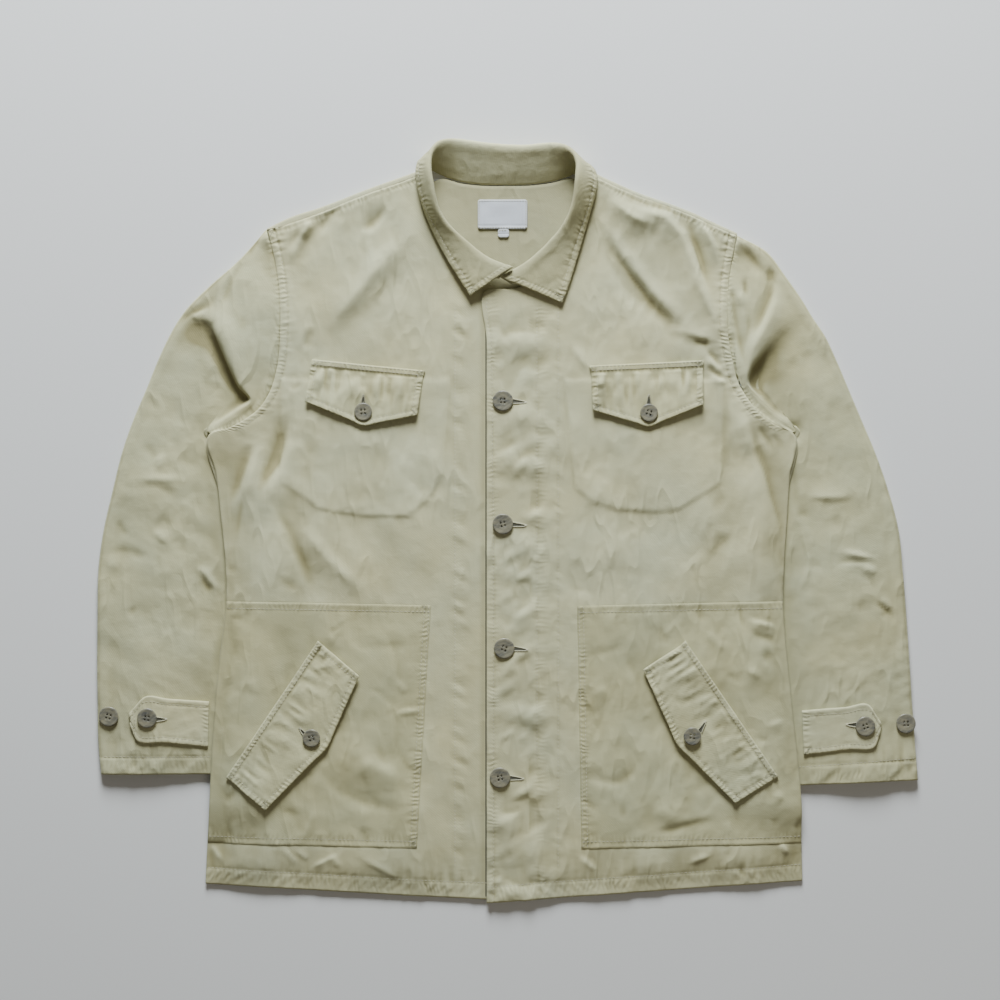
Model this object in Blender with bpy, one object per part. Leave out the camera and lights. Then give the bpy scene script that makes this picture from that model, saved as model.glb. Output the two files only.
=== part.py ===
"""Chore jacket laid flat with its front up, buttoned, sleeves down beside the body.

All sizes are in millimetres until a mesh is made. Frame: origin on the surface under the middle
of the jacket's box, +X to the right as it is seen from above, +Y towards the collar, +Z up.
Each sewn piece is a wall of true thickness; neighbours stop SEAM apart.
"""
import bpy
import numpy as np
from mathutils.geometry import delaunay_2d_cdt

MM = 0.001
WALL = 1.2          # one layer of cotton twill
DOUBLE = 1.6        # two layers stitched together: flaps, tabs, collar
TAPE = 1.0          # woven label
SEAM = 0.35         # gap between neighbouring pieces
REST = 0.3          # gap between layers that lie on each other
HOLLOW = 2.0        # how far the fronts stand off the back
SLEEVE_HIGH = 5.5   # a sleeve lying flat, outside to outside
SHOULDER_HIGH = 5.7  # underside of the fronts at the shoulder seam
WAVE = 0.3          # slow unevenness of the fronts
TUCK = 30.0         # width of sleeve that lies hidden under the body
FOLD_STEPS = 3      # points round the folded edge of a sleeve
SHOULDER_MARKS = 7  # marks that the fronts and the back share along a shoulder seam

CLOTH = (0.60, 0.60, 0.48)
TRIM = (0.86, 0.86, 0.82)
HORN = (0.33, 0.33, 0.29)

# Side seams from hem to armpit: x, y
SIDE_LEFT = [(-322, -388), (-320, -345), (-317, -300), (-314.5, -245), (-311, -200), (-307, -150),
             (-301, -110), (-298.5, -85.5), (-298.5, -55), (-303, -10), (-308, 35), (-311.5, 65),
             (-315.5, 92.5)]
SIDE_RIGHT = [(315.5, -385), (314.5, -345), (313.5, -295), (309, -250), (304, -204), (299, -150),
              (295, -115), (294, -87), (294.5, -55), (297, -15), (300, 35), (302, 65), (304, 93.5)]
# Armhole seams from armpit to shoulder tip, eleven stitch marks each: x, y
ARMHOLE_LEFT = [(-315.5, 92.5), (-297, 98), (-280, 106.5), (-263, 120), (-253, 136), (-245.5, 160),
                (-242, 190), (-241.5, 225), (-244, 255), (-249.5, 285), (-256.5, 309.5)]
ARMHOLE_RIGHT = [(304, 93.5), (287, 101), (272, 110), (258, 126), (246, 147.5), (239.5, 172.5),
                 (235, 200), (234.5, 228), (236.5, 256), (241, 283), (245.5, 303)]
# Shoulders from tip to neck: x, y of the folded top edge, then of the seam brought over to the front
SHOULDER_LEFT = [(-256.4, 311.6, -255.8, 309.3), (-243, 318.5, -241, 313), (-221.5, 327.5, -219, 320),
                 (-193.5, 336, -190, 331), (-155, 351.5, -152.5, 346.5), (-106, 369, -104, 363.5),
                 (-93, 374, -91, 369)]
SHOULDER_RIGHT = [(245.6, 306.6, 244.8, 303), (232, 313.5, 230, 309.5), (210, 322.5, 208.5, 318.5),
                  (185, 334.5, 183.5, 330.5), (150, 346, 148.5, 342), (110, 363, 108.5, 358.5),
                  (94, 371, 91.5, 367)]
# The back: levels of its rows below the armpit, its hem's ends, places of its columns, cells at the neck
BACK_LEVELS = [-382.0, -344.0, -301.0, -258.0, -200.0, -140.0, -86.5, -30.0, 30.0]
BACK_HEM = (-385.0, -382.0)
BACK_SHARES = [0, 0.03, 0.06, 0.095, 0.14, 0.2, 0.28, 0.33, 0.385, 0.44, 0.5, 0.56, 0.615, 0.67, 0.72,
               0.8, 0.86, 0.905, 0.94, 0.97, 1.0]
NECK_CELLS = 8
NECK_BACK = [(-93, 374), (-78, 367), (-55.5, 361), (-29, 357.7), (-3, 357.5), (23.5, 357.7), (50.5, 361),
             (70.5, 365), (94, 371)]
# Front edges with the neckline, from hem to neck point: x, y
UNDER_EDGE = [(20.5, -407), (20.5, -353), (20.5, -88), (20.5, 60), (20.5, 170), (20.5, 246), (0, 246.5),
              (-15, 250), (-34, 262), (-54, 281), (-69, 304), (-78, 331), (-83, 352), (-91, 369)]
OVER_EDGE = [(-21.5, -408.5), (-21.5, -353), (-21.5, -88), (-21.5, 60), (-21.5, 170), (-21.5, 246),
             (-5, 245),
             (14, 248), (33, 259), (53, 281), (68, 304), (77, 331), (82, 352), (91.5, 367)]
# Line through each front that the patch pocket's inner edge follows, from hem to shoulder
MIDDLE_LEFT = [(-98, -397.5), (-96.5, -353), (-81.5, -88), (-88, 92), (-106, 180), (-128, 262),
               (-158, 344.5)]
MIDDLE_RIGHT = [(80, -396), (79.5, -354), (75, -88), (84, 92), (100, 180), (120, 262), (150, 342)]

# Broad folds of the fronts, heights above the cloth round them: x0, y0, x1, y1, half width, height
FOLDS = [
    (-215, 300, -180, 205, 26, 2.2),
    (-160, 320, -120, 215, 30, 1.6),
    (-262, 60, -236, -60, 22, 2.2),
    (-215, 10, -150, -70, 24, 1.8),
    (-110, 60, -95, -40, 22, 1.2),
    (206, 290, 225, 195, 22, 2.2),
    (140, 330, 190, 215, 26, 1.6),
    (262, 50, 285, -55, 22, 2.2),
    (170, -10, 232, 30, 24, 1.6),
    (95, 40, 110, -50, 22, 1.4),
]

# Rings of a sleeve between armhole and cuff. Each has the x, y of eleven marks on the upper layer,
# from the outer fold to the inner one.
SLEEVE_LEFT_RINGS = {
    "cap_a": [(-287, 274.5), (-276, 268), (-267, 255), (-262, 233), (-260, 205), (-260, 176), (-263, 148),
              (-268, 124), (-282, 110.5), (-298.5, 101), (-317, 94)],
    "cap_b": [(-316, 249.5), (-302, 245), (-291, 236), (-283, 218), (-277, 196), (-273, 172), (-272, 146),
              (-270.5, 127), (-284, 114), (-299.5, 104), (-318, 95)],
    "fold_top": [(-343, 222), (-329, 219), (-315, 212.5), (-309, 198), (-302, 182), (-294, 163),
                 (-284, 143),
                 (-272, 127.5), (-286, 117.5), (-301, 107.5), (-319, 96.5)],
    "fold_foot": [(-349.5, 213), (-336, 213), (-320.5, 209), (-313.5, 195.5), (-306, 179), (-298, 160.5),
                  (-288, 141), (-277.5, 130.5), (-289, 121.5), (-304, 111), (-321, 98)],
    "below_a": [(-360, 194), (-347, 190), (-335, 184), (-325, 174), (-317, 162), (-309, 150), (-301, 139),
                (-295, 131), (-300, 122), (-309, 111), (-322, 96)],
    "below_b": [(-370.5, 171.5), (-361, 166), (-351, 160), (-342, 152), (-334, 144), (-327, 136),
                (-321, 127.5),
                (-317, 119), (-315.5, 110), (-317, 100), (-320, 90)],
}
SLEEVE_RIGHT_RINGS = {
    "cap_a": [(277, 284.5), (268, 272), (260, 258), (254.5, 240), (250.5, 219), (247.5, 197), (245.5, 174),
              (251, 147), (263, 128), (280, 112), (306, 95)],
    "cap_b": [(296, 259.5), (288, 250), (280, 239), (273, 224), (266, 208), (259.5, 191), (253, 172),
              (252.5, 151), (265, 131), (282, 114), (307, 96)],
    "fold_top": [(316, 230.5), (308, 222), (298, 213), (288, 202), (278, 190), (268, 177), (257.5, 161),
                 (255.5, 146), (266.5, 133), (283.5, 116), (308, 97)],
    "fold_foot": [(323, 218.5), (315, 211), (305, 203), (294.5, 193), (284, 182), (273, 170), (262.5, 157),
                  (260, 146.5), (269, 136), (285.5, 118.5), (309.5, 98)],
    "below_a": [(339, 194), (329, 188), (318, 182), (307, 174), (297, 165), (288, 156), (281, 147.5),
                (278, 139), (283, 129), (292, 117), (311, 96)],
    "below_b": [(350, 170.5), (342, 165), (334, 159), (326, 152), (318, 145), (311, 138), (305, 130.5),
                (301, 122), (300, 112), (302, 101), (309, 90)],
}
# Upper-layer heights at the eleven marks of each ring
SLEEVE_HEIGHTS = {
    "cap_a": [5.2, 8.4, 10.2, 11.4, 12.0, 12.0, 11.6, 11.0, 10.6, 10.2, 9.2],
    "cap_b": [5.2, 7.6, 10.0, 12.6, 14.0, 14.4, 13.8, 12.4, 11.2, 10.2, 8.8],
    "fold_top": [5.2, 6.2, 10.0, 13.2, 14.8, 15.2, 14.6, 12.6, 11.0, 9.6, 7.8],
    "fold_foot": [5.2, 5.5, 6.0, 6.2, 6.2, 6.2, 6.2, 6.4, 6.2, 6.0, 5.8],
    "below_a": [5.2, 5.5, 5.6, 5.6, 5.6, 5.6, 5.6, 5.6, 5.5, 5.5, 5.5],
    "below_b": [5.2, 5.6, 6.2, 6.4, 6.2, 5.8, 5.5, 5.5, 5.5, 5.5, 5.5],
}
# The right sleeve's folded cap is lower towards its outer side: share of the height at each mark
CAP_RIGHT = [0, 0.3, 0.4, 0.5, 0.65, 0.85, 1, 1, 0.9, 0.7, 0.6]
CAP_RIGHT_FOLD = 0.9    # and at the fold itself
SLEEVE_EDGE = 5.2       # upper layer at the outer fold
CROWN_SHARE = 0.75      # share of a sleeve's width that stays in sight and is slightly domed
# Straight rings down to the cuff: outer x, outer y, inner x, inner y, crown
LOWER_LEFT = [(-383.5, 139.5, -317, 84, 1.6), (-397, 107.5, -308, 70, 1.8), (-408.5, 75, -297, 52, 1.2),
              (-420.5, 27, -285, 15, 1.8), (-428, -5, -279, -15, 1.2), (-434.5, -50, -273, -55, 1.8),
              (-435.5, -101.5, -271, -105, 1.2), (-436, -150, -276, -155, 1.8),
              (-435.5, -192.5, -281, -197, 1.2),
              (-434.5, -240, -285, -243, 1.4), (-431.5, -271, -287, -271, 0.6)]
LOWER_RIGHT = [(363, 140, 307, 82, 1.6), (378, 104, 299, 68, 1.8), (391, 73, 289, 50, 1.2),
               (406, 30, 277, 15, 1.8), (416, -8, 271, -15, 1.2), (421, -55, 267, -60, 1.8),
               (425, -105, 265, -107, 1.2), (428, -150, 269, -155, 1.8), (431, -197.5, 275, -200, 1.2),
               (434.5, -246, 281, -250, 1.4), (437, -277, 284, -284, 0.6)]

# Collar from its left end round the back to its right end. out: plan direction away from the neck, in
# degrees; A: neck seam; B: rolled edge; C: outer edge (x, y, z each); roll: radius of the rolled edge.
COLLAR = [
    # out    Ax   Ay    Az     Bx     By    Bz      Cx     Cy   Cz   roll
    (214, -9, 257, 9.8, 6.0, 269.5, 12.2, -39.5, 239, 10.0, 2.1),
    (214, -37, 266, 5.6, -20, 279, 11.8, -51, 257, 9.0, 2.4),
    (212, -59, 284, 5.6, -44, 298.5, 14.0, -65.5, 279.5, 9.5, 2.8),
    (200, -73, 306, 6.4, -63, 313.5, 19.5, -81, 310, 10.0, 3.0),
    (186, -81, 331, 7.6, -76, 334, 27.0, -92, 337, 11.0, 3.0),
    (176, -86, 353, 8.8, -78.5, 358, 31.0, -97, 360, 12.0, 3.0),
    (158, -90, 371, 9.0, -82, 373, 31.0, -99, 380, 11.0, 3.0),
    (135, -88, 378, 6.0, -82.5, 388, 27.0, -93, 391, 3.2, 3.0),
    (115, -76, 371, 2.6, -76, 403, 20.5, -76, 387, 0.4, 3.0),
    (95, -56, 362.5, 1.7, -58, 406.5, 16.5, -57, 383, 0.3, 3.0),
    (90, -29, 358.6, 1.6, -30, 402, 15.5, -30, 379, 0.3, 3.0),
    (90, -3, 358.2, 1.6, -2, 399, 15.0, -2, 377, 0.3, 3.0),
    (90, 24, 358.6, 1.6, 24, 399, 15.5, 24, 377, 0.3, 3.0),
    (85, 51, 362.5, 1.7, 52, 402.5, 16.5, 50, 381, 0.3, 3.0),
    (65, 71, 368.5, 2.6, 69, 395, 21.5, 71, 384, 0.4, 3.0),
    (40, 86, 377, 6.0, 75, 383, 27.0, 92, 383, 3.2, 3.0),
    (18, 90, 368, 9.0, 72.5, 367, 31.0, 98, 368, 11.0, 3.0),
    (4, 86, 351, 8.8, 71, 350, 31.0, 95.5, 349, 12.0, 3.0),
    (-6, 80, 330, 7.6, 69.5, 332, 27.0, 89, 328, 11.0, 3.0),
    (-20, 72, 304, 6.4, 60.5, 314, 19.0, 82.5, 305, 10.0, 3.0),
    (-32, 57, 282, 5.6, 40, 291, 12.8, 75, 279.5, 9.5, 2.6),
    (-38, 31, 259, 5.3, 17, 272.5, 8.8, 66.5, 252, 9.0, 2.2),
    (-40, 4, 252.5, 5.2, -8, 260.5, 7.4, 59, 231.5, 8.6, 2.1),
]
COLLAR_SECTIONS = 40

# Patch pockets: rows of the front's grid they cover
PATCH_ROWS = (1, 7)
PATCH_INSET = 0.4       # how far a patch stops inside the side seam
# Fronts: levels of their rows below the armpit, columns outside and inside MIDDLE_*, shares of the front
# edge where rows end, shares of the neckline, and where MIDDLE_* crosses a row between side and edge
SIDE_LEVELS = [-344.0, -301.0, -258.0, -215.0, -172.0, -129.0, -86.5, -45.0, 0.0, 45.0]
OUTER_COLS, INNER_COLS = 9, 6
EDGE_SHARES = [0, 0.085, 0.151, 0.217, 0.283, 0.349, 0.415, 0.481, 0.55, 0.62,
               0.69, 0.765, 0.835, 0.915, 1.0]
NECK_SHARES = [0.16, 0.32, 0.46, 0.6, 0.74, 0.87, 1.0]
COLLAR_START = 5        # point of UNDER_EDGE and OVER_EDGE at which the neckline starts
MIDDLE_SHARE = 0.7
# Flaps: x, y along the stitched top line, the fold line and the free edge, at the same marks
CHEST_FLAP_LEFT = [(-207.5, 171.5, -209.5, 163, -214.5, 126.5), (-178, 168.5, -179, 160, -184, 114),
                   (-150, 165.5, -150, 157.5, -152.5, 101), (-119, 162.5, -119.5, 155, -124, 106.5),
                   (-87.5, 159.5, -89.5, 152.5, -96, 112)]
CHEST_FLAP_RIGHT = [(87.5, 164.5, 89.5, 156.5, 91.5, 117.5), (118, 166, 119, 158.5, 121, 108.5),
                    (149, 167.5, 149.5, 160, 151, 100), (179, 169, 179, 161.5, 180, 111.5),
                    (209.5, 170.5, 208.5, 163, 208.5, 123)]
LOWER_FLAP_LEFT = [(-201.5, -128.5, -196, -133.5, -157.5, -165.5),
                   (-225.5, -164.5, -219.5, -168, -174.5, -203.5),
                   (-250, -201, -244, -205, -191.5, -241.5), (-274, -237, -268, -240.5, -224, -274.5),
                   (-298.5, -273.5, -293, -277, -257, -308)]
LOWER_FLAP_RIGHT = [(190, -128.5, 185, -133, 145, -159), (214.5, -164.5, 209, -168.5, 163, -199),
                    (239, -200.5, 233, -204, 181.5, -239), (263.5, -236.5, 258, -240, 212, -270),
                    (288, -272.5, 282, -276, 243, -301)]
FLAP_LIFT = [(0.0, 0.4), (0.12, 0.4), (0.45, 1.6), (0.75, 2.6), (1.0, 3.4)]    # share of the depth, lift
FLAP_CLEAR = 7.0        # a flap clears the highest point this near it
TAB_CLEAR, TAB_REST = 9.0, 0.4
# Cuff tabs: x, y of the upper and the lower edge, from the button end to the body
TAB_LEFT = [(-402.5, -206, -400.5, -220), (-396, -198.5, -398, -227), (-385.5, -188, -395, -233),
            (-360, -190, -364, -236.5), (-335, -192, -338, -239.5), (-318, -193.3, -319, -241.5)]
TAB_RIGHT = [(398.5, -216, 397.5, -225), (392.5, -207, 395.5, -232), (385, -196.5, 392, -240.5),
             (360, -199, 364, -244), (335, -201, 338, -247.5), (314.5, -203, 316.5, -250)]

LABEL = (-31, 21.5, 311.5, 342.5)        # x from, x to, y from, y to
SIZE_TAB = (-9.5, 2.0, 302.5, 311.0)

# Buttons: name, x, y, diameter, thickness
BUTTONS = [
    ("button_front_1", -4.5, 127.5, 22, 3.0), ("button_front_2", -4.5, -4, 22, 3.0),
    ("button_front_3", -3.0, -136.5, 22, 3.0), ("button_front_4", -7.5, -274.5, 22, 3.0),
    ("button_chest_left", -153, 115.5, 19, 2.8), ("button_chest_right", 151, 114.5, 19, 2.8),
    ("button_pocket_left", -208, -231.5, 19, 2.8), ("button_pocket_right", 197, -229.5, 19, 2.8),
    ("button_tab_left", -382.5, -210, 21, 2.8), ("button_tab_right", 381, -219, 21, 2.8),
    ("button_spare_left", -424.5, -209, 21, 2.8), ("button_spare_right", 425, -216.5, 21, 2.8),
]
BUTTON_SEGMENTS = 16
HOLE_RADIUS = 1.1
HOLE_OFFSET = 1.9
HOLE_SIDES = 5


def clear_scene():
    for obj in list(bpy.data.objects):
        bpy.data.objects.remove(obj, do_unlink=True)


def ramp(value, start, end):
    """0 at start, 1 at end, smooth between."""
    t = np.clip((value - start) / (end - start), 0.0, 1.0)
    return t * t * (3.0 - 2.0 * t)


def spline(points, shares):
    """Points of a Catmull-Rom curve through the given ones, at these shares of its length."""
    points = np.array(points, float)
    ends = np.vstack([2 * points[0] - points[1], points, 2 * points[-1] - points[-2]])
    fine = []
    steps = 12
    for i in range(len(points) - 1):
        p0, p1, p2, p3 = ends[i:i + 4]
        for k in range(steps):
            t = k / steps
            fine.append(0.5 * (2 * p1 + (p2 - p0) * t + (2 * p0 - 5 * p1 + 4 * p2 - p3) * t ** 2
                               + (3 * p1 - p0 - 3 * p2 + p3) * t ** 3))
    fine.append(points[-1])
    return polyline(fine, shares)


def polyline(points, shares):
    """Points of an open line at these shares of its length."""
    points = np.array(points, float)
    length = np.concatenate([[0], np.cumsum(np.linalg.norm(np.diff(points, axis=0), axis=1))])
    wanted = np.array(shares) * length[-1]
    return np.stack([np.interp(wanted, length, points[:, k]) for k in range(points.shape[1])], axis=1)


def side_x(side, y):
    line = np.array(SIDE_LEFT if side < 0 else SIDE_RIGHT)
    return np.interp(y, line[:, 1], line[:, 0])


def sleeve_lift(x, y):
    """How far the body is held up by the sleeves tucked under its sides."""
    depth = np.where(x < 0, x - side_x(-1, y), side_x(1, y) - x)
    across = 1.0 - ramp(depth, TUCK + 4, TUCK + 52)
    along = ramp(y, -345, -296) * (1.0 - ramp(y, 94, 165))
    return (SLEEVE_HIGH + REST) * across * along


def shoulder_y(x):
    line = np.array(SHOULDER_LEFT if x < 0 else SHOULDER_RIGHT)[:, 2:]
    order = np.argsort(line[:, 0])
    return np.interp(x, line[order, 0], line[order, 1])


def armhole_x(side, y):
    line = np.array(ARMHOLE_LEFT if side < 0 else ARMHOLE_RIGHT)[3:]
    return np.interp(y, line[:, 1], line[:, 0])


def fold_height(x, y):
    total = 0.0
    for x0, y0, x1, y1, half, height in FOLDS:
        along = np.array([x1 - x0, y1 - y0], float)
        length = np.hypot(*along)
        along /= length
        run = (x - x0) * along[0] + (y - y0) * along[1]
        off = (x - x0) * along[1] - (y - y0) * along[0]
        ends = ramp(run, -half, half) * (1.0 - ramp(run, length - half, length + half))
        total += height * ends * np.exp(-(off / half) ** 2)
    return total


def hem_y(x):
    return np.interp(x, [-322, -98, -21.5, 20, 80, 315.5], [-388, -397.5, -408.5, -403, -396, -385])


def front_under(x, y, over):
    """Height of a front's underside. over: the front whose placket lies on top."""
    side = -1 if x < 0 else 1
    depth = side * (side_x(side, y) - x)
    edge = ramp(depth, 0, 30) * ramp(y - hem_y(x), 0, 28)
    if over:
        loft = max(HOLLOW * edge, HOLLOW * (1.0 - ramp(x, 26, 62)))
    else:
        loft = HOLLOW * edge * (1.0 - ramp(x, -75, -34))
    near_seam = 1.0 - ramp(shoulder_y(x) - y, 0, 45)
    shoulder = (SHOULDER_HIGH - WALL - REST - HOLLOW) * near_seam * ramp(y, 200, 260)
    cap = 3.0 * np.exp(-((x - armhole_x(side, y)) / 38.0) ** 2)
    cap = cap * ramp(y, 85, 130) * (1.0 - ramp(y, 230, 290))
    lapped = 0.8 * (1.0 - ramp(depth, 0, 14)) * ramp(y, 40, 92)
    quiet = ramp(abs(x), 45, 80)
    folds = fold_height(x, y) * edge * quiet
    return sleeve_lift(x, y) + WALL + REST + loft + shoulder + cap + lapped + folds + unevenness(x, y)


def unevenness(x, y):
    """Cloth never lies quite flat: a slow swell of WAVE."""
    return WAVE * (1.0 + np.sin(x / 29.0 + 0.7) * np.sin(y / 37.0))


def grid_faces(rows, cols, keep):
    return [(r, c) for r in range(rows - 1) for c in range(cols - 1) if keep(r, c)]


def slab(name, outer, inner, colour, keep=lambda r, c: True):
    """A closed wall between two grids of points (rows, columns, 3), leaving out cells that keep refuses."""
    rows, cols = outer.shape[:2]
    cells = grid_faces(rows, cols, keep)
    used = {}
    points = []

    def index(layer, r, c):
        key = (layer, r, c)
        if key not in used:
            used[key] = len(points)
            points.append((outer if layer else inner)[r, c])
        return used[key]

    faces = []
    edges = {}
    for r, c in cells:
        corners = [(r, c), (r, c + 1), (r + 1, c + 1), (r + 1, c)]
        top = [index(1, *corner) for corner in corners]
        low = [index(0, *corner) for corner in corners]
        faces += [(top[0], top[1], top[2]), (top[0], top[2], top[3])]
        faces += [(low[0], low[2], low[1]), (low[0], low[3], low[2])]
        for k in range(4):
            a, b = corners[k], corners[(k + 1) % 4]
            if (b, a) in edges:
                del edges[(b, a)]
            else:
                edges[(a, b)] = True
    for a, b in edges:
        ta, tb, la, lb = index(1, *a), index(1, *b), index(0, *a), index(0, *b)
        faces += [(ta, la, lb), (ta, lb, tb)]
    return mesh_object(name, np.array(points), faces, colour)


def mesh_object(name, points, faces, colour):
    faces = np.array(faces)
    corners = points[faces]
    volume = np.einsum("ij,ij->i", corners[:, 0], np.cross(corners[:, 1], corners[:, 2])).sum() / 6.0
    if volume < 0:
        faces = faces[:, ::-1]
    mesh = bpy.data.meshes.new(name)
    mesh.from_pydata([tuple(p) for p in points * MM], [], [tuple(int(i) for i in f) for f in faces])
    mesh.shade_smooth()
    mesh.set_sharp_from_angle(angle=0.7)
    obj = bpy.data.objects.new(name, mesh)
    bpy.context.scene.collection.objects.link(obj)
    material = bpy.data.materials.new(name)
    material.use_nodes = True
    shader = material.node_tree.nodes["Principled BSDF"]
    shader.inputs["Base Color"].default_value = (*colour, 1.0)
    shader.inputs["Roughness"].default_value = 0.45 if colour == HORN else 0.85
    mesh.materials.append(material)
    return obj


def normals(grid, closed=False):
    """Unit normals of a grid of points; closed: its columns run round a loop."""
    if closed:
        across = np.roll(grid, -1, axis=1) - np.roll(grid, 1, axis=1)
    else:
        across = np.gradient(grid, axis=1)
    along = np.gradient(grid, axis=0)
    normal = np.cross(across, along)
    return normal / np.linalg.norm(normal, axis=2, keepdims=True)


def front_grid(side_line, armhole, middle, edge, shoulder):
    """Plan points of a front, rows from hem to shoulder seam, columns from its side to its edge."""
    line = np.array(side_line, float)
    guide = [side_line[0]] + [(np.interp(y, line[:, 1], line[:, 0]), y) for y in SIDE_LEVELS]
    guide = np.array(guide + list(armhole), float)
    rows = len(guide)
    edge = np.array(edge, float)
    straight = edge[0] + np.outer(EDGE_SHARES, edge[COLLAR_START] - edge[0])
    right = np.vstack([straight, polyline(edge[COLLAR_START:], NECK_SHARES)])
    mid_low = np.array(middle, float)
    mids = []
    for r in range(rows):
        if r <= PATCH_ROWS[1]:
            target = guide[r, 1] + (right[r, 1] - guide[r, 1]) * MIDDLE_SHARE
            mids.append((np.interp(target, mid_low[:, 1], mid_low[:, 0]), target))
        else:
            start = mids[PATCH_ROWS[1]]
            share = (r - PATCH_ROWS[1]) / (rows - 1 - PATCH_ROWS[1])
            x = start[0] + (mid_low[-1, 0] - start[0]) * share ** 1.6
            y = start[1] + (mid_low[-1, 1] - start[1]) * (0.82 * share + 0.18 * share ** 2)
            mids.append((x, y))
    mids = np.array(mids)
    seam = np.array(shoulder, float)[:, 2:]
    marks = spline(seam, np.linspace(0, 1, SHOULDER_MARKS))
    last = polyline(marks, np.linspace(0, 1, OUTER_COLS + INNER_COLS + 1))
    grid = np.zeros((rows, OUTER_COLS + INNER_COLS + 1, 2))
    for r in range(rows):
        left = guide[r] + np.outer(np.linspace(0, 1, OUTER_COLS + 1), mids[r] - guide[r])
        rest = mids[r] + np.outer(np.linspace(0, 1, INNER_COLS + 1), right[r] - mids[r])
        grid[r] = np.vstack([left, rest[1:]])
    bend = last - grid[-1]
    for step in range(1, 5):
        grid[rows - 5 + step] += bend * (step / 4.0) ** 2
    return grid


def build_front(name, plan, over):
    low = np.zeros(plan.shape[:2] + (3,))
    for r in range(plan.shape[0]):
        for c in range(plan.shape[1]):
            x, y = plan[r, c]
            low[r, c] = (x, y, front_under(x, y, over))
    high = low + (0, 0, WALL)
    slab(name, high, low, CLOTH)
    return high


def build_patch(name, high):
    """A patch pocket made from the front's own points, moved out."""
    first, last = PATCH_ROWS
    base = high[first:last + 1, 0:OUTER_COLS + 1].copy()
    base[:, 0, 0] += np.sign(base[0, 1, 0] - base[0, 0, 0]) * PATCH_INSET
    low = base + (0, 0, REST)
    slab(name, low + (0, 0, WALL), low, CLOTH)
    return low + (0, 0, WALL)


class Surface:
    """Looks up the height of the highest of some grids of points at a place."""

    def __init__(self, grids):
        self.triangles = []
        for grid in grids:
            rows, cols = grid.shape[:2]
            for r, c in grid_faces(rows, cols, lambda r, c: True):
                a, b, d, e = grid[r, c], grid[r, c + 1], grid[r + 1, c + 1], grid[r + 1, c]
                self.triangles += [(a, b, d), (a, d, e)]
        self.triangles = np.array(self.triangles)

    def height(self, x, y):
        a, b, c = (self.triangles[:, k, :2] for k in range(3))
        v0, v1 = b - a, c - a
        v2 = np.array([x, y]) - a
        det = v0[:, 0] * v1[:, 1] - v0[:, 1] * v1[:, 0]
        det = np.where(np.abs(det) < 1e-9, 1e-9, det)
        u = (v2[:, 0] * v1[:, 1] - v2[:, 1] * v1[:, 0]) / det
        v = (v0[:, 0] * v2[:, 1] - v0[:, 1] * v2[:, 0]) / det
        inside = (u >= -1e-6) & (v >= -1e-6) & (u + v <= 1 + 1e-6)
        if not inside.any():
            return -1.0
        z = self.triangles[:, 0, 2] + u * (self.triangles[:, 1, 2] - self.triangles[:, 0, 2]) \
            + v * (self.triangles[:, 2, 2] - self.triangles[:, 0, 2])
        return float(z[inside].max())

    def highest(self, x, y, radius):
        angles = np.linspace(0, 2 * np.pi, 12, endpoint=False)
        near = [self.height(x + radius * np.cos(a), y + radius * np.sin(a)) for a in angles]
        return max(near + [self.height(x, y)])


def build_flap(name, marks, surface):
    """A flap with its stitched band, following what it lies on and lifting towards its free edge."""
    marks = np.array(marks, float)
    fine = []
    for i in range(len(marks) - 1):
        fine += [marks[i], (marks[i] + marks[i + 1]) / 2]
    fine.append(marks[-1])
    marks = np.array(fine)
    low = np.zeros((len(marks), len(FLAP_LIFT), 3))
    for r, (bx, by, fx, fy, ex, ey) in enumerate(marks):
        for c, (share, lift) in enumerate(FLAP_LIFT):
            if c == 0:
                x, y = bx, by
            else:
                t = (share - FLAP_LIFT[1][0]) / (1.0 - FLAP_LIFT[1][0])
                x, y = fx + (ex - fx) * t, fy + (ey - fy) * t
            low[r, c] = (x, y, surface.highest(x, y, FLAP_CLEAR) + lift)
    slab(name, low + (0, 0, DOUBLE), low, CLOTH)
    return low + (0, 0, DOUBLE)


def build_tab(name, marks, surface):
    marks = np.array(marks, float)
    low = np.zeros((len(marks), 3, 3))
    for r, (ax, ay, bx, by) in enumerate(marks):
        for c, t in enumerate((0.0, 0.5, 1.0)):
            x, y = ax + (bx - ax) * t, ay + (by - ay) * t
            low[r, c] = (x, y, surface.highest(x, y, TAB_CLEAR) + TAB_REST)
    slab(name, low + (0, 0, DOUBLE), low, CLOTH)
    return low + (0, 0, DOUBLE)


def curl(sil, seam):
    """Outer and inner points of the back's shoulder: over the floor, round the top edge, to the seam."""
    away = seam - sil
    reach = np.hypot(*away)
    away /= reach
    high = SHOULDER_HIGH + WALL
    r = high / 2
    arc = [(r + 14.0, 0.0), (r + 4.0, 0.0), (r, 0.0), (r * 0.42, r * 0.18), (0.0, r * 0.9),
           (r * 0.25, r * 1.66),
           (max(reach - 0.5, r * 0.5) * 0.75, high - 0.12), (reach - SEAM, high)]
    inner = [(r + 14.0, WALL), (r + 4.0, WALL), (r, WALL), (r * 0.42 + 0.75, r * 0.18 + 0.95),
             (WALL, r * 0.92),
             (r * 0.25 + 0.75, r * 1.66 - 0.95),
             (max(reach - 0.5, r * 0.5) * 0.75 + 0.1, high - WALL - 0.12),
             (reach - SEAM, high - WALL)]
    return [[np.array([*(sil + away * v), z]) for v, z in line] for line in (arc, inner)]


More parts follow.
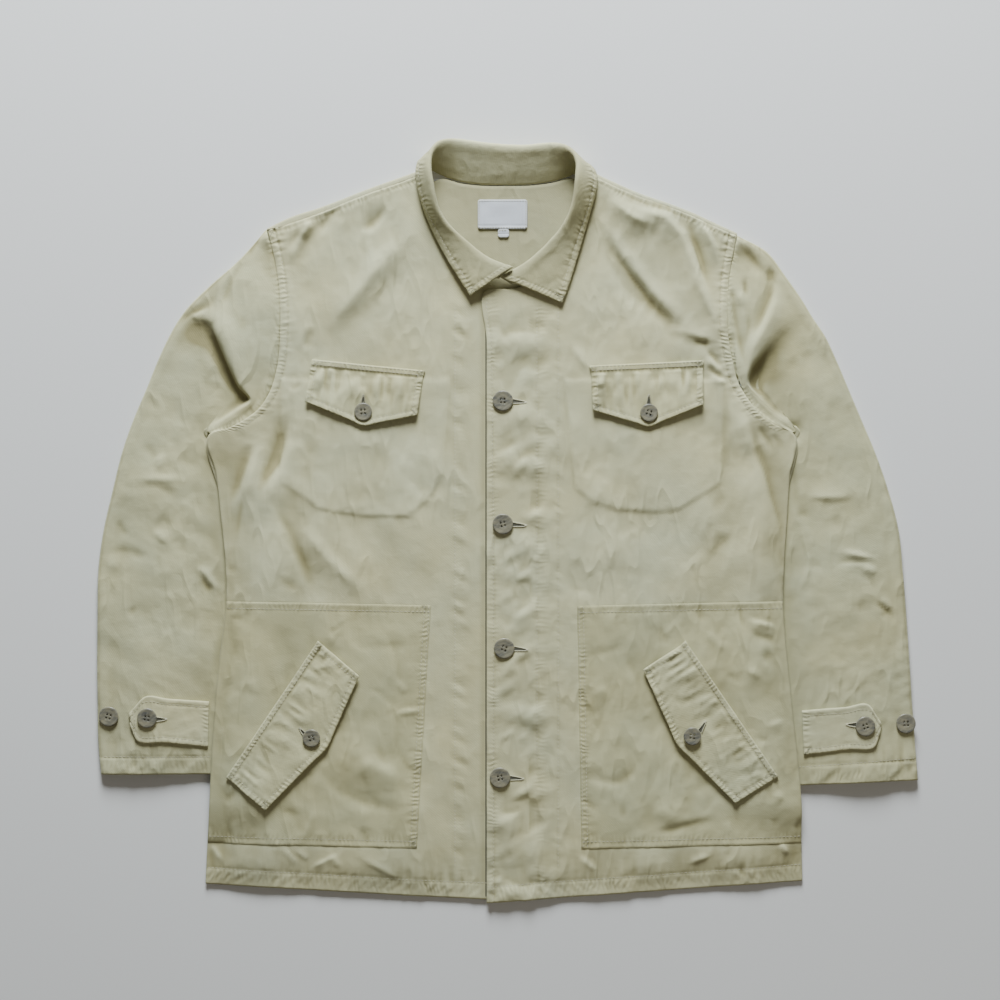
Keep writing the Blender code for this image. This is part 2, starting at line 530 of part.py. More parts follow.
def build_back():
    left = [(float(side_x(-1, y)), y) for y in BACK_LEVELS] + list(ARMHOLE_LEFT[:-1])
    right = [(float(side_x(1, y)), y) for y in BACK_LEVELS] + list(ARMHOLE_RIGHT[:-1])
    left[0] = (left[0][0], BACK_HEM[0])
    right[0] = (right[0][0], BACK_HEM[1])
    left, right = np.array(left, float), np.array(right, float)
    shoulder_cols = SHOULDER_MARKS
    sil_left = spline(np.array(SHOULDER_LEFT)[:, :2], np.linspace(0, 1, shoulder_cols))
    seam_left = spline(np.array(SHOULDER_LEFT)[:, 2:], np.linspace(0, 1, shoulder_cols))
    sil_right = spline(np.array(SHOULDER_RIGHT)[:, :2], np.linspace(0, 1, shoulder_cols))
    seam_right = spline(np.array(SHOULDER_RIGHT)[:, 2:], np.linspace(0, 1, shoulder_cols))
    neck = spline(NECK_BACK, np.linspace(0, 1, NECK_CELLS + 1))[1:-1]
    top_left = [curl(a, b) for a, b in zip(sil_left, seam_left)]
    top_right = [curl(a, b) for a, b in zip(sil_right, seam_right)][::-1]
    steps = len(top_left[0][0])
    crown = np.vstack([[p[0][0][:2] for p in top_left], neck, [p[0][0][:2] for p in top_right]])
    cols = len(crown)
    shares = np.array(BACK_SHARES)
    flat_rows = len(left)
    outer = np.full((flat_rows + steps, cols, 3), np.nan)
    inner = outer.copy()
    first, last = crown[0], crown[-1]
    own = np.clip((crown[:, 0] - first[0]) / (last[0] - first[0]), 0, 1)
    for r in range(flat_rows):
        rise = np.clip((r - len(BACK_LEVELS)) / (flat_rows - len(BACK_LEVELS)), 0, 1)
        line = left[r] + np.outer(shares + (own - shares) * rise, right[r] - left[r])
        sag = crown - (first + np.outer(own, last - first))
        line += sag * rise ** 2.5 * np.array([0.0, 1.0])
        for c, (x, y) in enumerate(line):
            z = float(sleeve_lift(x, y))
            outer[r, c] = (x, y, z)
            inner[r, c] = (x, y, z + WALL)
    for c in range(cols):
        if c < shoulder_cols:
            profile = top_left[c]
        elif c >= cols - shoulder_cols:
            profile = top_right[c - (cols - shoulder_cols)]
        else:
            profile = None
        for k in range(steps):
            if profile:
                outer[flat_rows + k, c] = profile[0][k]
                inner[flat_rows + k, c] = profile[1][k]
            elif k == 0:
                outer[flat_rows, c] = (*crown[c], 0.0)
                inner[flat_rows, c] = (*crown[c], WALL)

    def keep(r, c):
        return r < flat_rows or c + 1 < shoulder_cols or c >= cols - shoulder_cols

    slab("back_panel", outer, inner, CLOTH, keep)


def sleeve_ring(plan, heights, low_plan, low_z, swell=0.8):
    """One closed ring: eleven points over the top, the inner fold, eleven under it, the outer fold."""
    top = [np.array([x, y, z]) for (x, y), z in zip(plan, heights)]
    low = [np.array([x, y, z]) for (x, y), z in zip(low_plan, low_z)]
    ring = list(top)
    for end, other, sign in ((top[-1], low[-1], 1), (low[0], top[0], -1)):
        centre = (end + other) / 2
        half = end - centre
        inward = top[-2] - top[-1] if sign > 0 else top[1] - top[0]
        inward[2] = 0
        inward /= np.linalg.norm(inward)
        radius = np.linalg.norm(half)
        for k in range(1, FOLD_STEPS + 1):
            angle = np.pi * k / (FOLD_STEPS + 1)
            ring.append(centre + half * np.cos(angle) - inward * radius * np.sin(angle) * swell)
        if sign > 0:
            ring += low[::-1]
    return np.array(ring)


def build_sleeve(name, side, rings, lower, armhole):
    over = side > 0
    marks = np.array(armhole[::-1], float)
    tangent = np.gradient(marks, axis=0)
    away = np.stack([tangent[:, 1], -tangent[:, 0]], axis=1)
    away /= np.linalg.norm(away, axis=1, keepdims=True)
    centre = np.array([side * 380.0, 220.0])
    away *= np.sign(np.einsum("ij,ij->i", away, centre - marks))[:, None]
    away[-2:] = np.array([side * 0.5, 0.86])
    widen = np.ones(len(marks))
    widen[-3:] = (1.6, 2.2, 2.6)
    start = marks + away * SEAM * widen[:, None]
    top0 = [front_under(x, y, over) + WALL for x, y in marks]
    low0 = [float(sleeve_lift(x, y)) for x, y in marks]
    top0[0] = SHOULDER_HIGH + WALL
    sections = [sleeve_ring(start, top0, start, low0, 0.3)]
    for k, key in enumerate(SLEEVE_HEIGHTS):
        plan = np.array(rings[key], float)
        heights = np.array(SLEEVE_HEIGHTS[key])
        if side > 0 and key in ("cap_a", "cap_b", "fold_top"):
            flat = np.array(SLEEVE_HEIGHTS["fold_foot"])
            cap_share = np.array(CAP_RIGHT) * (CAP_RIGHT_FOLD if key == "fold_top" else 1.0)
            heights = flat + (heights - flat) * cap_share
        fade = max(0.0, 1.0 - (k + 1) / 4.0)
        chord = plan[0] + np.outer(np.linspace(0, 1, len(plan)), plan[-1] - plan[0])
        low_plan = chord + (plan - chord) * (0.35 + 0.65 * fade)
        low_z = np.array(low0) * fade
        sections.append(sleeve_ring(plan, heights, low_plan, low_z))
    for ox, oy, ix, iy, crown in lower:
        share = np.linspace(0, 1, len(armhole))
        plan = np.array([ox, oy]) + np.outer(share, np.array([ix - ox, iy - oy], float))
        heights = SLEEVE_EDGE + crown * np.sin(np.pi * np.clip(share / CROWN_SHARE, 0, 1)) + 0.2 * share
        sections.append(sleeve_ring(plan, heights, plan, np.zeros(len(plan))))
    loop = np.array(sections)
    loop[:, :, 2] = np.maximum(loop[:, :, 2], 0.0)
    facing = normals(loop, closed=True)
    probe = np.mean(loop[-1], axis=0)
    if np.einsum("ij,ij->i", facing[-1], loop[-1] - probe).mean() < 0:
        facing = -facing
    inner = loop - facing * WALL
    inner[:, :, 2] = np.maximum(inner[:, :, 2], WALL)
    wrapped_outer = np.concatenate([loop, loop[:, :1]], axis=1)
    wrapped_inner = np.concatenate([inner, inner[:, :1]], axis=1)
    tube(name, wrapped_outer, wrapped_inner)
    return loop[:, :len(armhole)]


def tube(name, outer, inner):
    """A closed sleeve wall: outer and inner loops joined by a rim at each end."""
    rows, cols = outer.shape[0], outer.shape[1] - 1
    points = np.concatenate([outer[:, :cols].reshape(-1, 3), inner[:, :cols].reshape(-1, 3)])
    shift = rows * cols
    faces = []

    def at(layer, r, c):
        return layer * shift + r * cols + c % cols

    for r in range(rows - 1):
        for c in range(cols):
            a, b, d, e = at(0, r, c), at(0, r, c + 1), at(0, r + 1, c + 1), at(0, r + 1, c)
            faces += [(a, b, d), (a, d, e)]
            a, b, d, e = at(1, r, c), at(1, r, c + 1), at(1, r + 1, c + 1), at(1, r + 1, c)
            faces += [(a, d, b), (a, e, d)]
    for c in range(cols):
        a, b, d, e = at(0, 0, c), at(0, 0, c + 1), at(1, 0, c + 1), at(1, 0, c)
        faces += [(a, d, b), (a, e, d)]
        a, b, d, e = at(0, rows - 1, c), at(0, rows - 1, c + 1), at(1, rows - 1, c + 1), at(1, rows - 1, c)
        faces += [(a, b, d), (a, d, e)]
    mesh_object(name, points, faces, CLOTH)


def collar_profile(row):
    """Points of one section of the collar: up the stand, round the roll, down the fall."""
    out, ax, ay, az, bx, by, bz, cx, cy, cz, roll = row
    w = np.array([np.cos(np.radians(out)), np.sin(np.radians(out))])
    side = np.array([-w[1], w[0]])
    a, b, c = np.array([ax, ay]), np.array([bx, by]), np.array([cx, cy])
    qb, lb = (b - a) @ w, (b - a) @ side
    qc, lc = (c - a) @ w, (c - a) @ side
    up = np.arctan2(bz - az, qb)
    down = np.arctan2(cz - bz, qc - qb)
    while down > up:
        down -= 2 * np.pi
    while down < up - 2 * np.pi:
        down += 2 * np.pi
    middle = (up + down) / 2 + np.pi / 2
    centre = np.array([qb, bz]) - roll * np.array([np.cos(middle), np.sin(middle)])
    arc = []
    for t in np.linspace(0, 1, 5):
        angle = up + (down - up) * t + np.pi / 2
        arc.append(centre + roll * np.array([np.cos(angle), np.sin(angle)]))
    start, end = np.array([0.0, az]), np.array([qc, cz])
    stand_out = np.array([-np.sin(up), np.cos(up)])
    fall_out = np.array([-np.sin(down), np.cos(down)])
    flat = [start]
    for t, bulge in ((0.35, 0.5), (0.7, 0.5)):
        flat.append(start + (arc[0] - start) * t + stand_out * bulge)
    flat += arc
    for t, bulge in ((0.3, 0.9), (0.65, 0.9)):
        flat.append(arc[-1] + (end - arc[-1]) * t + fall_out * bulge)
    flat.append(end)
    shares = [0.0, 0.35, 0.7, 1.0, 1.0, 1.0, 1.0, 1.0, 1.3, 1.65, 2.0]
    rows = []
    for (q, z), share in zip(flat, shares):
        lateral = lb * min(share, 1.0) + (lc - lb) * max(share - 1.0, 0.0)
        xy = a + w * q + side * lateral
        rows.append((xy[0], xy[1], z))
    return rows


def build_collar():
    table = np.array(COLLAR, float)
    mids = table[:, 4:6]
    length = np.concatenate([[0], np.cumsum(np.linalg.norm(np.diff(mids, axis=0), axis=1) + 6.0)])
    wanted = np.linspace(0, length[-1], COLLAR_SECTIONS)
    rows = [[np.interp(s, length, table[:, k]) for k in range(table.shape[1])] for s in wanted]
    skin = np.array([collar_profile(row) for row in rows])
    smooth = skin.copy()
    smooth[1:-1] = 0.25 * skin[:-2] + 0.5 * skin[1:-1] + 0.25 * skin[2:]
    facing = normals(smooth)
    middle = len(smooth) // 2
    if facing[middle, 5, 1] < 0:
        facing = -facing
    slab("collar", smooth, smooth - facing * DOUBLE, CLOTH)


def build_tape(name, x0, x1, y0, y1):
    low = np.array([[(x, y, WALL + REST) for x in np.linspace(x0, x1, 3)] for y in (y0, y1)])
    slab(name, low + (0, 0, TAPE), low, TRIM)


def circle(radius, count, centre=(0.0, 0.0), turn=0.0):
    angles = turn + np.linspace(0, 2 * np.pi, count, endpoint=False)
    return np.stack([centre[0] + radius * np.cos(angles), centre[1] + radius * np.sin(angles)], axis=1)


def holed_disc(ring, holes):
    """Triangles of a round plate with holes, as indices into ring followed by the holes."""
    loops = [ring] + holes
    points = np.vstack(loops)
    edges = []
    start = 0
    for loop in loops:
        edges += [(start + k, start + (k + 1) % len(loop)) for k in range(len(loop))]
        start += len(loop)
    result = delaunay_2d_cdt([tuple(p) for p in points], edges, [], 0, 1e-6)
    back = {new: old[0] for new, old in enumerate(result[3])}
    triangles = []
    for face in result[2]:
        middle = np.mean([points[back[i]] for i in face], axis=0)
        inside = any(np.hypot(*(middle - hole.mean(axis=0))) < HOLE_RADIUS * 0.8 for hole in holes)
        if not inside:
            triangles.append(tuple(back[i] for i in face))
    return triangles


def build_button(name, x, y, diameter, thick, base):
    """A four-hole button: rounded foot, raised rim, dished middle."""
    radius = diameter / 2
    n = BUTTON_SEGMENTS
    holes = [circle(HOLE_RADIUS, HOLE_SIDES, (i * HOLE_OFFSET, j * HOLE_OFFSET))
             for i in (-1, 1) for j in (-1, 1)]
    profile = [(radius * 0.80, 0.0), (radius, thick * 0.45), (radius * 0.94, thick),
               (radius * 0.68, thick * 0.72)]
    rings = [np.column_stack([circle(r, n), np.full(n, z)]) for r, z in profile]
    low_holes = [np.column_stack([h, np.zeros(len(h))]) for h in holes]
    top_holes = [np.column_stack([h, np.full(len(h), profile[-1][1])]) for h in holes]
    points = np.vstack(rings + top_holes + low_holes)
    faces = []
    for k in range(len(profile) - 1):
        for c in range(n):
            a, b = k * n + c, k * n + (c + 1) % n
            faces += [(a, b, b + n), (a, b + n, a + n)]
    top_start = len(profile) * n
    low_start = top_start + 4 * HOLE_SIDES
    top_ids = list(range((len(profile) - 1) * n, top_start)) + list(range(top_start, low_start))
    low_ids = list(range(n)) + list(range(low_start, low_start + 4 * HOLE_SIDES))
    for tri, ids, up in [(t, top_ids, True) for t in holed_disc(circle(profile[-1][0], n), holes)] + \
                        [(t, low_ids, False) for t in holed_disc(circle(profile[0][0], n), holes)]:
        p = np.array([points[ids[i]][:2] for i in tri])
        area = (p[1, 0] - p[0, 0]) * (p[2, 1] - p[0, 1]) - (p[1, 1] - p[0, 1]) * (p[2, 0] - p[0, 0])
        ordered = tri if (area > 0) == up else tri[::-1]
        faces.append(tuple(ids[i] for i in ordered))
    for h in range(4):
        for c in range(HOLE_SIDES):
            a = top_start + h * HOLE_SIDES + c
            b = top_start + h * HOLE_SIDES + (c + 1) % HOLE_SIDES
            la, lb = a + 4 * HOLE_SIDES, b + 4 * HOLE_SIDES
            faces += [(a, b, lb), (a, lb, la)]
    points = points + (x, y, base)
    mesh_object(name, points, faces, HORN)


def main():
    clear_scene()
    build_back()
    under_plan = front_grid(SIDE_LEFT, ARMHOLE_LEFT, MIDDLE_LEFT, UNDER_EDGE, SHOULDER_LEFT)
    over_plan = front_grid(SIDE_RIGHT, ARMHOLE_RIGHT, MIDDLE_RIGHT, OVER_EDGE, SHOULDER_RIGHT)
    under = build_front("front_left_under", under_plan, False)
    over = build_front("front_right_over", over_plan, True)
    patch_left = build_patch("pocket_patch_left", under)
    patch_right = build_patch("pocket_patch_right", over)
    body = Surface([under, over, patch_left, patch_right])
    flaps = [build_flap("chest_flap_left", CHEST_FLAP_LEFT, body),
             build_flap("chest_flap_right", CHEST_FLAP_RIGHT, body),
             build_flap("pocket_flap_left", LOWER_FLAP_LEFT, body),
             build_flap("pocket_flap_right", LOWER_FLAP_RIGHT, body)]
    sleeve_left = build_sleeve("sleeve_left", -1, SLEEVE_LEFT_RINGS, LOWER_LEFT, ARMHOLE_LEFT)
    sleeve_right = build_sleeve("sleeve_right", 1, SLEEVE_RIGHT_RINGS, LOWER_RIGHT, ARMHOLE_RIGHT)
    sleeves = Surface([sleeve_left, sleeve_right])
    tabs = [build_tab("cuff_tab_left", TAB_LEFT, sleeves), build_tab("cuff_tab_right", TAB_RIGHT, sleeves)]
    build_collar()
    build_tape("neck_label", *LABEL)
    build_tape("size_tab", *SIZE_TAB)
    everything = Surface([under, over, patch_left, patch_right, sleeve_left, sleeve_right] + flaps + tabs)
    for name, x, y, diameter, thick in BUTTONS:
        base = everything.highest(x, y, diameter * 0.42) + REST
        build_button(name, x, y, diameter, thick, base)


main()
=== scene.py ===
"""Chore jacket laid flat: cloth, stitching, buttons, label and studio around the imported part.

Sizes are in millimetres until a mesh is made. Frame: +X to the right as seen from above, +Y to the
collar, +Z up, origin on the surface. The size tables repeat the part's own source, because this
script can't read that file; each cloth piece is a thin shell on its solid's form, with its creases.
"""

import bpy
import numpy as np
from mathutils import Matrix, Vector
from mathutils.bvhtree import BVHTree
from mathutils.geometry import delaunay_2d_cdt


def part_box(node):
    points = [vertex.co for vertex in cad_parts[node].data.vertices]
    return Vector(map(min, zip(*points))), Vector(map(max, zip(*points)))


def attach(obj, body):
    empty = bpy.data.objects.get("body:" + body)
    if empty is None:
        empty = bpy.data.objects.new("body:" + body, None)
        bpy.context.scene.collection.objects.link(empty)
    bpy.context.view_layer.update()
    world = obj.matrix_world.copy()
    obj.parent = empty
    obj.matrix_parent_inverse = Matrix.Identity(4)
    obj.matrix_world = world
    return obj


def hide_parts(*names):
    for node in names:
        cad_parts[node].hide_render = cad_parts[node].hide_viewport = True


bl_info = {
    "name": "Flat-laid chore jacket",
    "version": (1, 0, 0),
    "blender": (4, 5, 0),
    "location": "3D View > Sidebar > Jacket",
    "description": "Builds a buttoned cotton chore jacket lying flat around its packed frame",
    "category": "Object",
}

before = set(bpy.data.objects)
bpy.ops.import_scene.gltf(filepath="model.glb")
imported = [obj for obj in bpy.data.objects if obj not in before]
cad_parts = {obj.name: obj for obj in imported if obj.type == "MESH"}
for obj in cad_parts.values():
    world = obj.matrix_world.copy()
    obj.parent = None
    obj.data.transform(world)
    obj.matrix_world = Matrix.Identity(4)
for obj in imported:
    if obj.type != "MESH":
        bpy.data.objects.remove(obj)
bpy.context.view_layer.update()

MM = 0.001
WALL = 1.2          # one layer of cotton twill
DOUBLE = 1.6        # two layers stitched together: flaps, tabs, collar
TAPE = 1.0          # woven label
SEAM = 0.35         # gap between neighbouring pieces
REST = 0.3          # gap between layers that lie on each other
HOLLOW = 2.0        # how far the fronts stand off the back
SLEEVE_HIGH = 5.5   # a sleeve lying flat, outside to outside
SHOULDER_HIGH = 5.7  # underside of the fronts at the shoulder seam
WAVE = 0.3          # slow unevenness of the fronts
TUCK = 30.0         # width of sleeve that lies hidden under the body
FOLD_STEPS = 3      # points round the folded edge of a sleeve
SHOULDER_MARKS = 7  # marks that the fronts and the back share along a shoulder seam
ROUND = 0.25        # how far the rim of a cut edge rounds outwards
LOFT = 1.8          # how far the middles of the fronts fill out above their solids
THREAD = 0.55       # width of the sewing thread
CORNER = 2.6        # radius of the label's corners
BUTTON_REST = 0.15  # gap between a button and the cloth under it
ABOVE_ALL = 80.0    # height from which the cloth is looked for
ARMPIT = 92.0       # y of the lower end of the armholes
HEM_BAND = 17.5     # stitch lines: distance from the hem, the armhole and front edge, a small edge, a fold
SEAM_BAND = 7.5
EDGE_BAND = 6.0
FOLD_LINE = 1.3
CHEST_BAND = 7.5    # relief of the flaps' double stitching: distance from their top
POCKET_BAND = 6.5
UNDER_LINE = -55.6  # x of the under front's placket stitching
PATCH_BANDS = (("right", 6.5), ("low", 7.0), ("high", 7.0))    # side of the patch, distance
PLACKET_LINES = ((32.0, -258.0), (54.5, -372.0))    # x, and y of the low end
CUFF_LINE = {-1: ((-431, -252), (-300, -252.5)), 1: ((436, -253.5), (297, -264.5))}
# Buttonholes of the flaps and tabs: x, y, length, turn
FLAP_HOLES = [(-153, 128, 8, 1.57), (151, 128, 8, 1.57), (-217, -226, 9, 2.3), (208, -220, 11, 1.03),
              (-368, -211.5, 9, 0.0), (367, -217.5, 9, 3.14)]
# Painted shade in the hollows of a sleeve beside the body: middle, half widths, strength
PIT_SHADES = {-1: (-326, 197, 15, 9, 4.0), 1: (277, 156, 16, 14, 2.0)}
PITCH = 5.0         # of the fine gathers along a seam
# Painted shadow beside a fold's edge: strength, reach, line; on the outer side of the line only
FOLD_SHADOWS = {-1: [
    (1.3, 22, [(-322, 212), (-302, 181), (-287, 148), (-272, 123)])
], 1: [
    (1.2, 34, [(266, 174), (257, 157), (259, 138), (275, 123)]),
    (0.8, 14, [(247, 292), (262, 278), (278, 262)])
]}
SHALLOW = 0.6       # share of a trough's depth that is left below the arms
CAMERA_HIGH = 1.9   # metres above the surface
PICTURE_WIDE = 1.07  # metres of surface across the picture
PICTURE_MIDDLE = (-0.0075, 0.0217)


# Tables with a left and a right half have the keys -1 (left in the picture) and 1 (right).
# Side seams from hem to armpit: x, y
SIDE = {-1: [
    (-322, -388), (-320, -345), (-317, -300), (-314.5, -245), (-311, -200), (-307, -150), (-301, -110),
    (-298.5, -85.5), (-298.5, -55), (-303, -10), (-308, 35), (-311.5, 65), (-315.5, 92.5)
], 1: [
    (315.5, -385), (314.5, -345), (313.5, -295), (309, -250), (304, -204), (299, -150), (295, -115), (294, -87),
    (294.5, -55), (297, -15), (300, 35), (302, 65), (304, 93.5)
]}
# Armhole seams from armpit to shoulder tip, eleven stitch marks each: x, y
ARMHOLE = {-1: [
    (-315.5, 92.5), (-297, 98), (-280, 106.5), (-263, 120), (-253, 136), (-245.5, 160), (-242, 190),
    (-241.5, 225), (-244, 255), (-249.5, 285), (-256.5, 309.5)
], 1: [
    (304, 93.5), (287, 101), (272, 110), (258, 126), (246, 147.5), (239.5, 172.5), (235, 200), (234.5, 228),
    (236.5, 256), (241, 283), (245.5, 303)
]}
# Shoulders from tip to neck: x, y of the folded top edge, then of the seam brought over to the front
SHOULDER = {-1: [
    (-256.4, 311.6, -255.8, 309.3), (-243, 318.5, -241, 313), (-221.5, 327.5, -219, 320),
    (-193.5, 336, -190, 331), (-155, 351.5, -152.5, 346.5), (-106, 369, -104, 363.5), (-93, 374, -91, 369)
], 1: [
    (245.6, 306.6, 244.8, 303), (232, 313.5, 230, 309.5), (210, 322.5, 208.5, 318.5),
    (185, 334.5, 183.5, 330.5), (150, 346, 148.5, 342), (110, 363, 108.5, 358.5), (94, 371, 91.5, 367)
]}
NECK_BACK = [
    (-93, 374), (-78, 367), (-55.5, 361), (-29, 357.7), (-3, 357.5), (23.5, 357.7), (50.5, 361), (70.5, 365),
    (94, 371)
]
# Front edges with the neckline, from hem to neck point: x, y
FRONT_EDGE = {-1: [
    (20.5, -407), (20.5, -353), (20.5, -88), (20.5, 60), (20.5, 170), (20.5, 246), (0, 246.5), (-15, 250),
    (-34, 262), (-54, 281), (-69, 304), (-78, 331), (-83, 352), (-91, 369)
], 1: [
    (-21.5, -408.5), (-21.5, -353), (-21.5, -88), (-21.5, 60), (-21.5, 170), (-21.5, 246), (-5, 245), (14, 248),
    (33, 259), (53, 281), (68, 304), (77, 331), (82, 352), (91.5, 367)
]}
# Line through each front that the patch pocket's inner edge follows, from hem to shoulder
MIDDLE = {-1: [
    (-98, -397.5), (-96.5, -353), (-81.5, -88), (-88, 92), (-106, 180), (-128, 262), (-158, 344.5)
], 1: [
    (80, -396), (79.5, -354), (75, -88), (84, 92), (100, 180), (120, 262), (150, 342)
]}

# Broad folds of the fronts, heights above the cloth round them: x0, y0, x1, y1, half width, height
FOLDS = [
    (-215, 300, -180, 205, 26, 2.2),
    (-160, 320, -120, 215, 30, 1.6),
    (-262, 60, -236, -60, 22, 2.2),
    (-215, 10, -150, -70, 24, 1.8),
    (-110, 60, -95, -40, 22, 1.2),
    (206, 290, 225, 195, 22, 2.2),
    (140, 330, 190, 215, 26, 1.6),
    (262, 50, 285, -55, 22, 2.2),
    (170, -10, 232, 30, 24, 1.6),
    (95, 40, 110, -50, 22, 1.4),
]

# Rings of a sleeve between armhole and cuff. Each has the x, y of eleven marks on the upper layer,
# from the outer fold to the inner one.
SLEEVE_RINGS = {-1: {
    "cap_a": [
        (-287, 274.5), (-276, 268), (-267, 255), (-262, 233), (-260, 205), (-260, 176), (-263, 148),
        (-268, 124), (-282, 110.5), (-298.5, 101), (-317, 94)],
    "cap_b": [
        (-316, 249.5), (-302, 245), (-291, 236), (-283, 218), (-277, 196), (-273, 172), (-272, 146),
        (-270.5, 127), (-284, 114), (-299.5, 104), (-318, 95)],
    "fold_top": [
        (-343, 222), (-329, 219), (-315, 212.5), (-309, 198), (-302, 182), (-294, 163), (-284, 143),
        (-272, 127.5), (-286, 117.5), (-301, 107.5), (-319, 96.5)],
    "fold_foot": [
        (-349.5, 213), (-336, 213), (-320.5, 209), (-313.5, 195.5), (-306, 179), (-298, 160.5), (-288, 141),
        (-277.5, 130.5), (-289, 121.5), (-304, 111), (-321, 98)],
    "below_a": [
        (-360, 194), (-347, 190), (-335, 184), (-325, 174), (-317, 162), (-309, 150), (-301, 139), (-295, 131),
        (-300, 122), (-309, 111), (-322, 96)],
    "below_b": [
        (-370.5, 171.5), (-361, 166), (-351, 160), (-342, 152), (-334, 144), (-327, 136), (-321, 127.5),
        (-317, 119), (-315.5, 110), (-317, 100), (-320, 90)],
}, 1: {
    "cap_a": [
        (277, 284.5), (268, 272), (260, 258), (254.5, 240), (250.5, 219), (247.5, 197), (245.5, 174),
        (251, 147), (263, 128), (280, 112), (306, 95)],
    "cap_b": [
        (296, 259.5), (288, 250), (280, 239), (273, 224), (266, 208), (259.5, 191), (253, 172), (252.5, 151),
        (265, 131), (282, 114), (307, 96)],
    "fold_top": [
        (316, 230.5), (308, 222), (298, 213), (288, 202), (278, 190), (268, 177), (257.5, 161), (255.5, 146),
        (266.5, 133), (283.5, 116), (308, 97)],
    "fold_foot": [
        (323, 218.5), (315, 211), (305, 203), (294.5, 193), (284, 182), (273, 170), (262.5, 157), (260, 146.5),
        (269, 136), (285.5, 118.5), (309.5, 98)],
    "below_a": [
        (339, 194), (329, 188), (318, 182), (307, 174), (297, 165), (288, 156), (281, 147.5), (278, 139),
        (283, 129), (292, 117), (311, 96)],
    "below_b": [
        (350, 170.5), (342, 165), (334, 159), (326, 152), (318, 145), (311, 138), (305, 130.5), (301, 122),
        (300, 112), (302, 101), (309, 90)],
}}
# Upper-layer heights at the eleven marks of each ring
SLEEVE_HEIGHTS = {
    "cap_a": [5.2, 8.4, 10.2, 11.4, 12.0, 12.0, 11.6, 11.0, 10.6, 10.2, 9.2],
    "cap_b": [5.2, 7.6, 10.0, 12.6, 14.0, 14.4, 13.8, 12.4, 11.2, 10.2, 8.8],
    "fold_top": [5.2, 6.2, 10.0, 13.2, 14.8, 15.2, 14.6, 12.6, 11.0, 9.6, 7.8],
    "fold_foot": [5.2, 5.5, 6.0, 6.2, 6.2, 6.2, 6.2, 6.4, 6.2, 6.0, 5.8],
    "below_a": [5.2, 5.5, 5.6, 5.6, 5.6, 5.6, 5.6, 5.6, 5.5, 5.5, 5.5],
    "below_b": [5.2, 5.6, 6.2, 6.4, 6.2, 5.8, 5.5, 5.5, 5.5, 5.5, 5.5],
}
# Straight rings down to the cuff: outer x, outer y, inner x, inner y, crown
LOWER = {-1: [
    (-383.5, 139.5, -317, 84, 1.6), (-397, 107.5, -308, 70, 1.8), (-408.5, 75, -297, 52, 1.2),
    (-420.5, 27, -285, 15, 1.8), (-428, -5, -279, -15, 1.2), (-434.5, -50, -273, -55, 1.8),
    (-435.5, -101.5, -271, -105, 1.2), (-436, -150, -276, -155, 1.8), (-435.5, -192.5, -281, -197, 1.2),
    (-434.5, -240, -285, -243, 1.4), (-431.5, -271, -287, -271, 0.6)
], 1: [
    (363, 140, 307, 82, 1.6), (378, 104, 299, 68, 1.8), (391, 73, 289, 50, 1.2), (406, 30, 277, 15, 1.8),
    (416, -8, 271, -15, 1.2), (421, -55, 267, -60, 1.8), (425, -105, 265, -107, 1.2),
    (428, -150, 269, -155, 1.8), (431, -197.5, 275, -200, 1.2), (434.5, -246, 281, -250, 1.4),
    (437, -277, 284, -284, 0.6)
]}

# Collar from its left end round the back to its right end. out: plan direction away from the neck, in
# degrees; A: neck seam; B: rolled edge; C: outer edge (x, y, z each); roll: radius of the rolled edge.
COLLAR = [
    # out    Ax   Ay    Az     Bx     By    Bz      Cx     Cy   Cz   roll
    (214, -9, 257, 9.8, 6.0, 269.5, 12.2, -39.5, 239, 10.0, 2.1),
    (214, -37, 266, 5.6, -20, 279, 11.8, -51, 257, 9.0, 2.4),
    (212, -59, 284, 5.6, -44, 298.5, 14.0, -65.5, 279.5, 9.5, 2.8),
    (200, -73, 306, 6.4, -63, 313.5, 19.5, -81, 310, 10.0, 3.0),
    (186, -81, 331, 7.6, -76, 334, 27.0, -92, 337, 11.0, 3.0),
    (176, -86, 353, 8.8, -78.5, 358, 31.0, -97, 360, 12.0, 3.0),
    (158, -90, 371, 9.0, -82, 373, 31.0, -99, 380, 11.0, 3.0),
    (135, -88, 378, 6.0, -82.5, 388, 27.0, -93, 391, 3.2, 3.0),
    (115, -76, 371, 2.6, -76, 403, 20.5, -76, 387, 0.4, 3.0),
    (95, -56, 362.5, 1.7, -58, 406.5, 16.5, -57, 383, 0.3, 3.0),
    (90, -29, 358.6, 1.6, -30, 402, 15.5, -30, 379, 0.3, 3.0),
    (90, -3, 358.2, 1.6, -2, 399, 15.0, -2, 377, 0.3, 3.0),
    (90, 24, 358.6, 1.6, 24, 399, 15.5, 24, 377, 0.3, 3.0),
    (85, 51, 362.5, 1.7, 52, 402.5, 16.5, 50, 381, 0.3, 3.0),
    (65, 71, 368.5, 2.6, 69, 395, 21.5, 71, 384, 0.4, 3.0),
    (40, 86, 377, 6.0, 75, 383, 27.0, 92, 383, 3.2, 3.0),
    (18, 90, 368, 9.0, 72.5, 367, 31.0, 98, 368, 11.0, 3.0),
    (4, 86, 351, 8.8, 71, 350, 31.0, 95.5, 349, 12.0, 3.0),
    (-6, 80, 330, 7.6, 69.5, 332, 27.0, 89, 328, 11.0, 3.0),
    (-20, 72, 304, 6.4, 60.5, 314, 19.0, 82.5, 305, 10.0, 3.0),
    (-32, 57, 282, 5.6, 40, 291, 12.8, 75, 279.5, 9.5, 2.6),
    (-38, 31, 259, 5.3, 17, 272.5, 8.8, 66.5, 252, 9.0, 2.2),
    (-40, 4, 252.5, 5.2, -8, 260.5, 7.4, 59, 231.5, 8.6, 2.1),
]
COLLAR_SECTIONS = 40

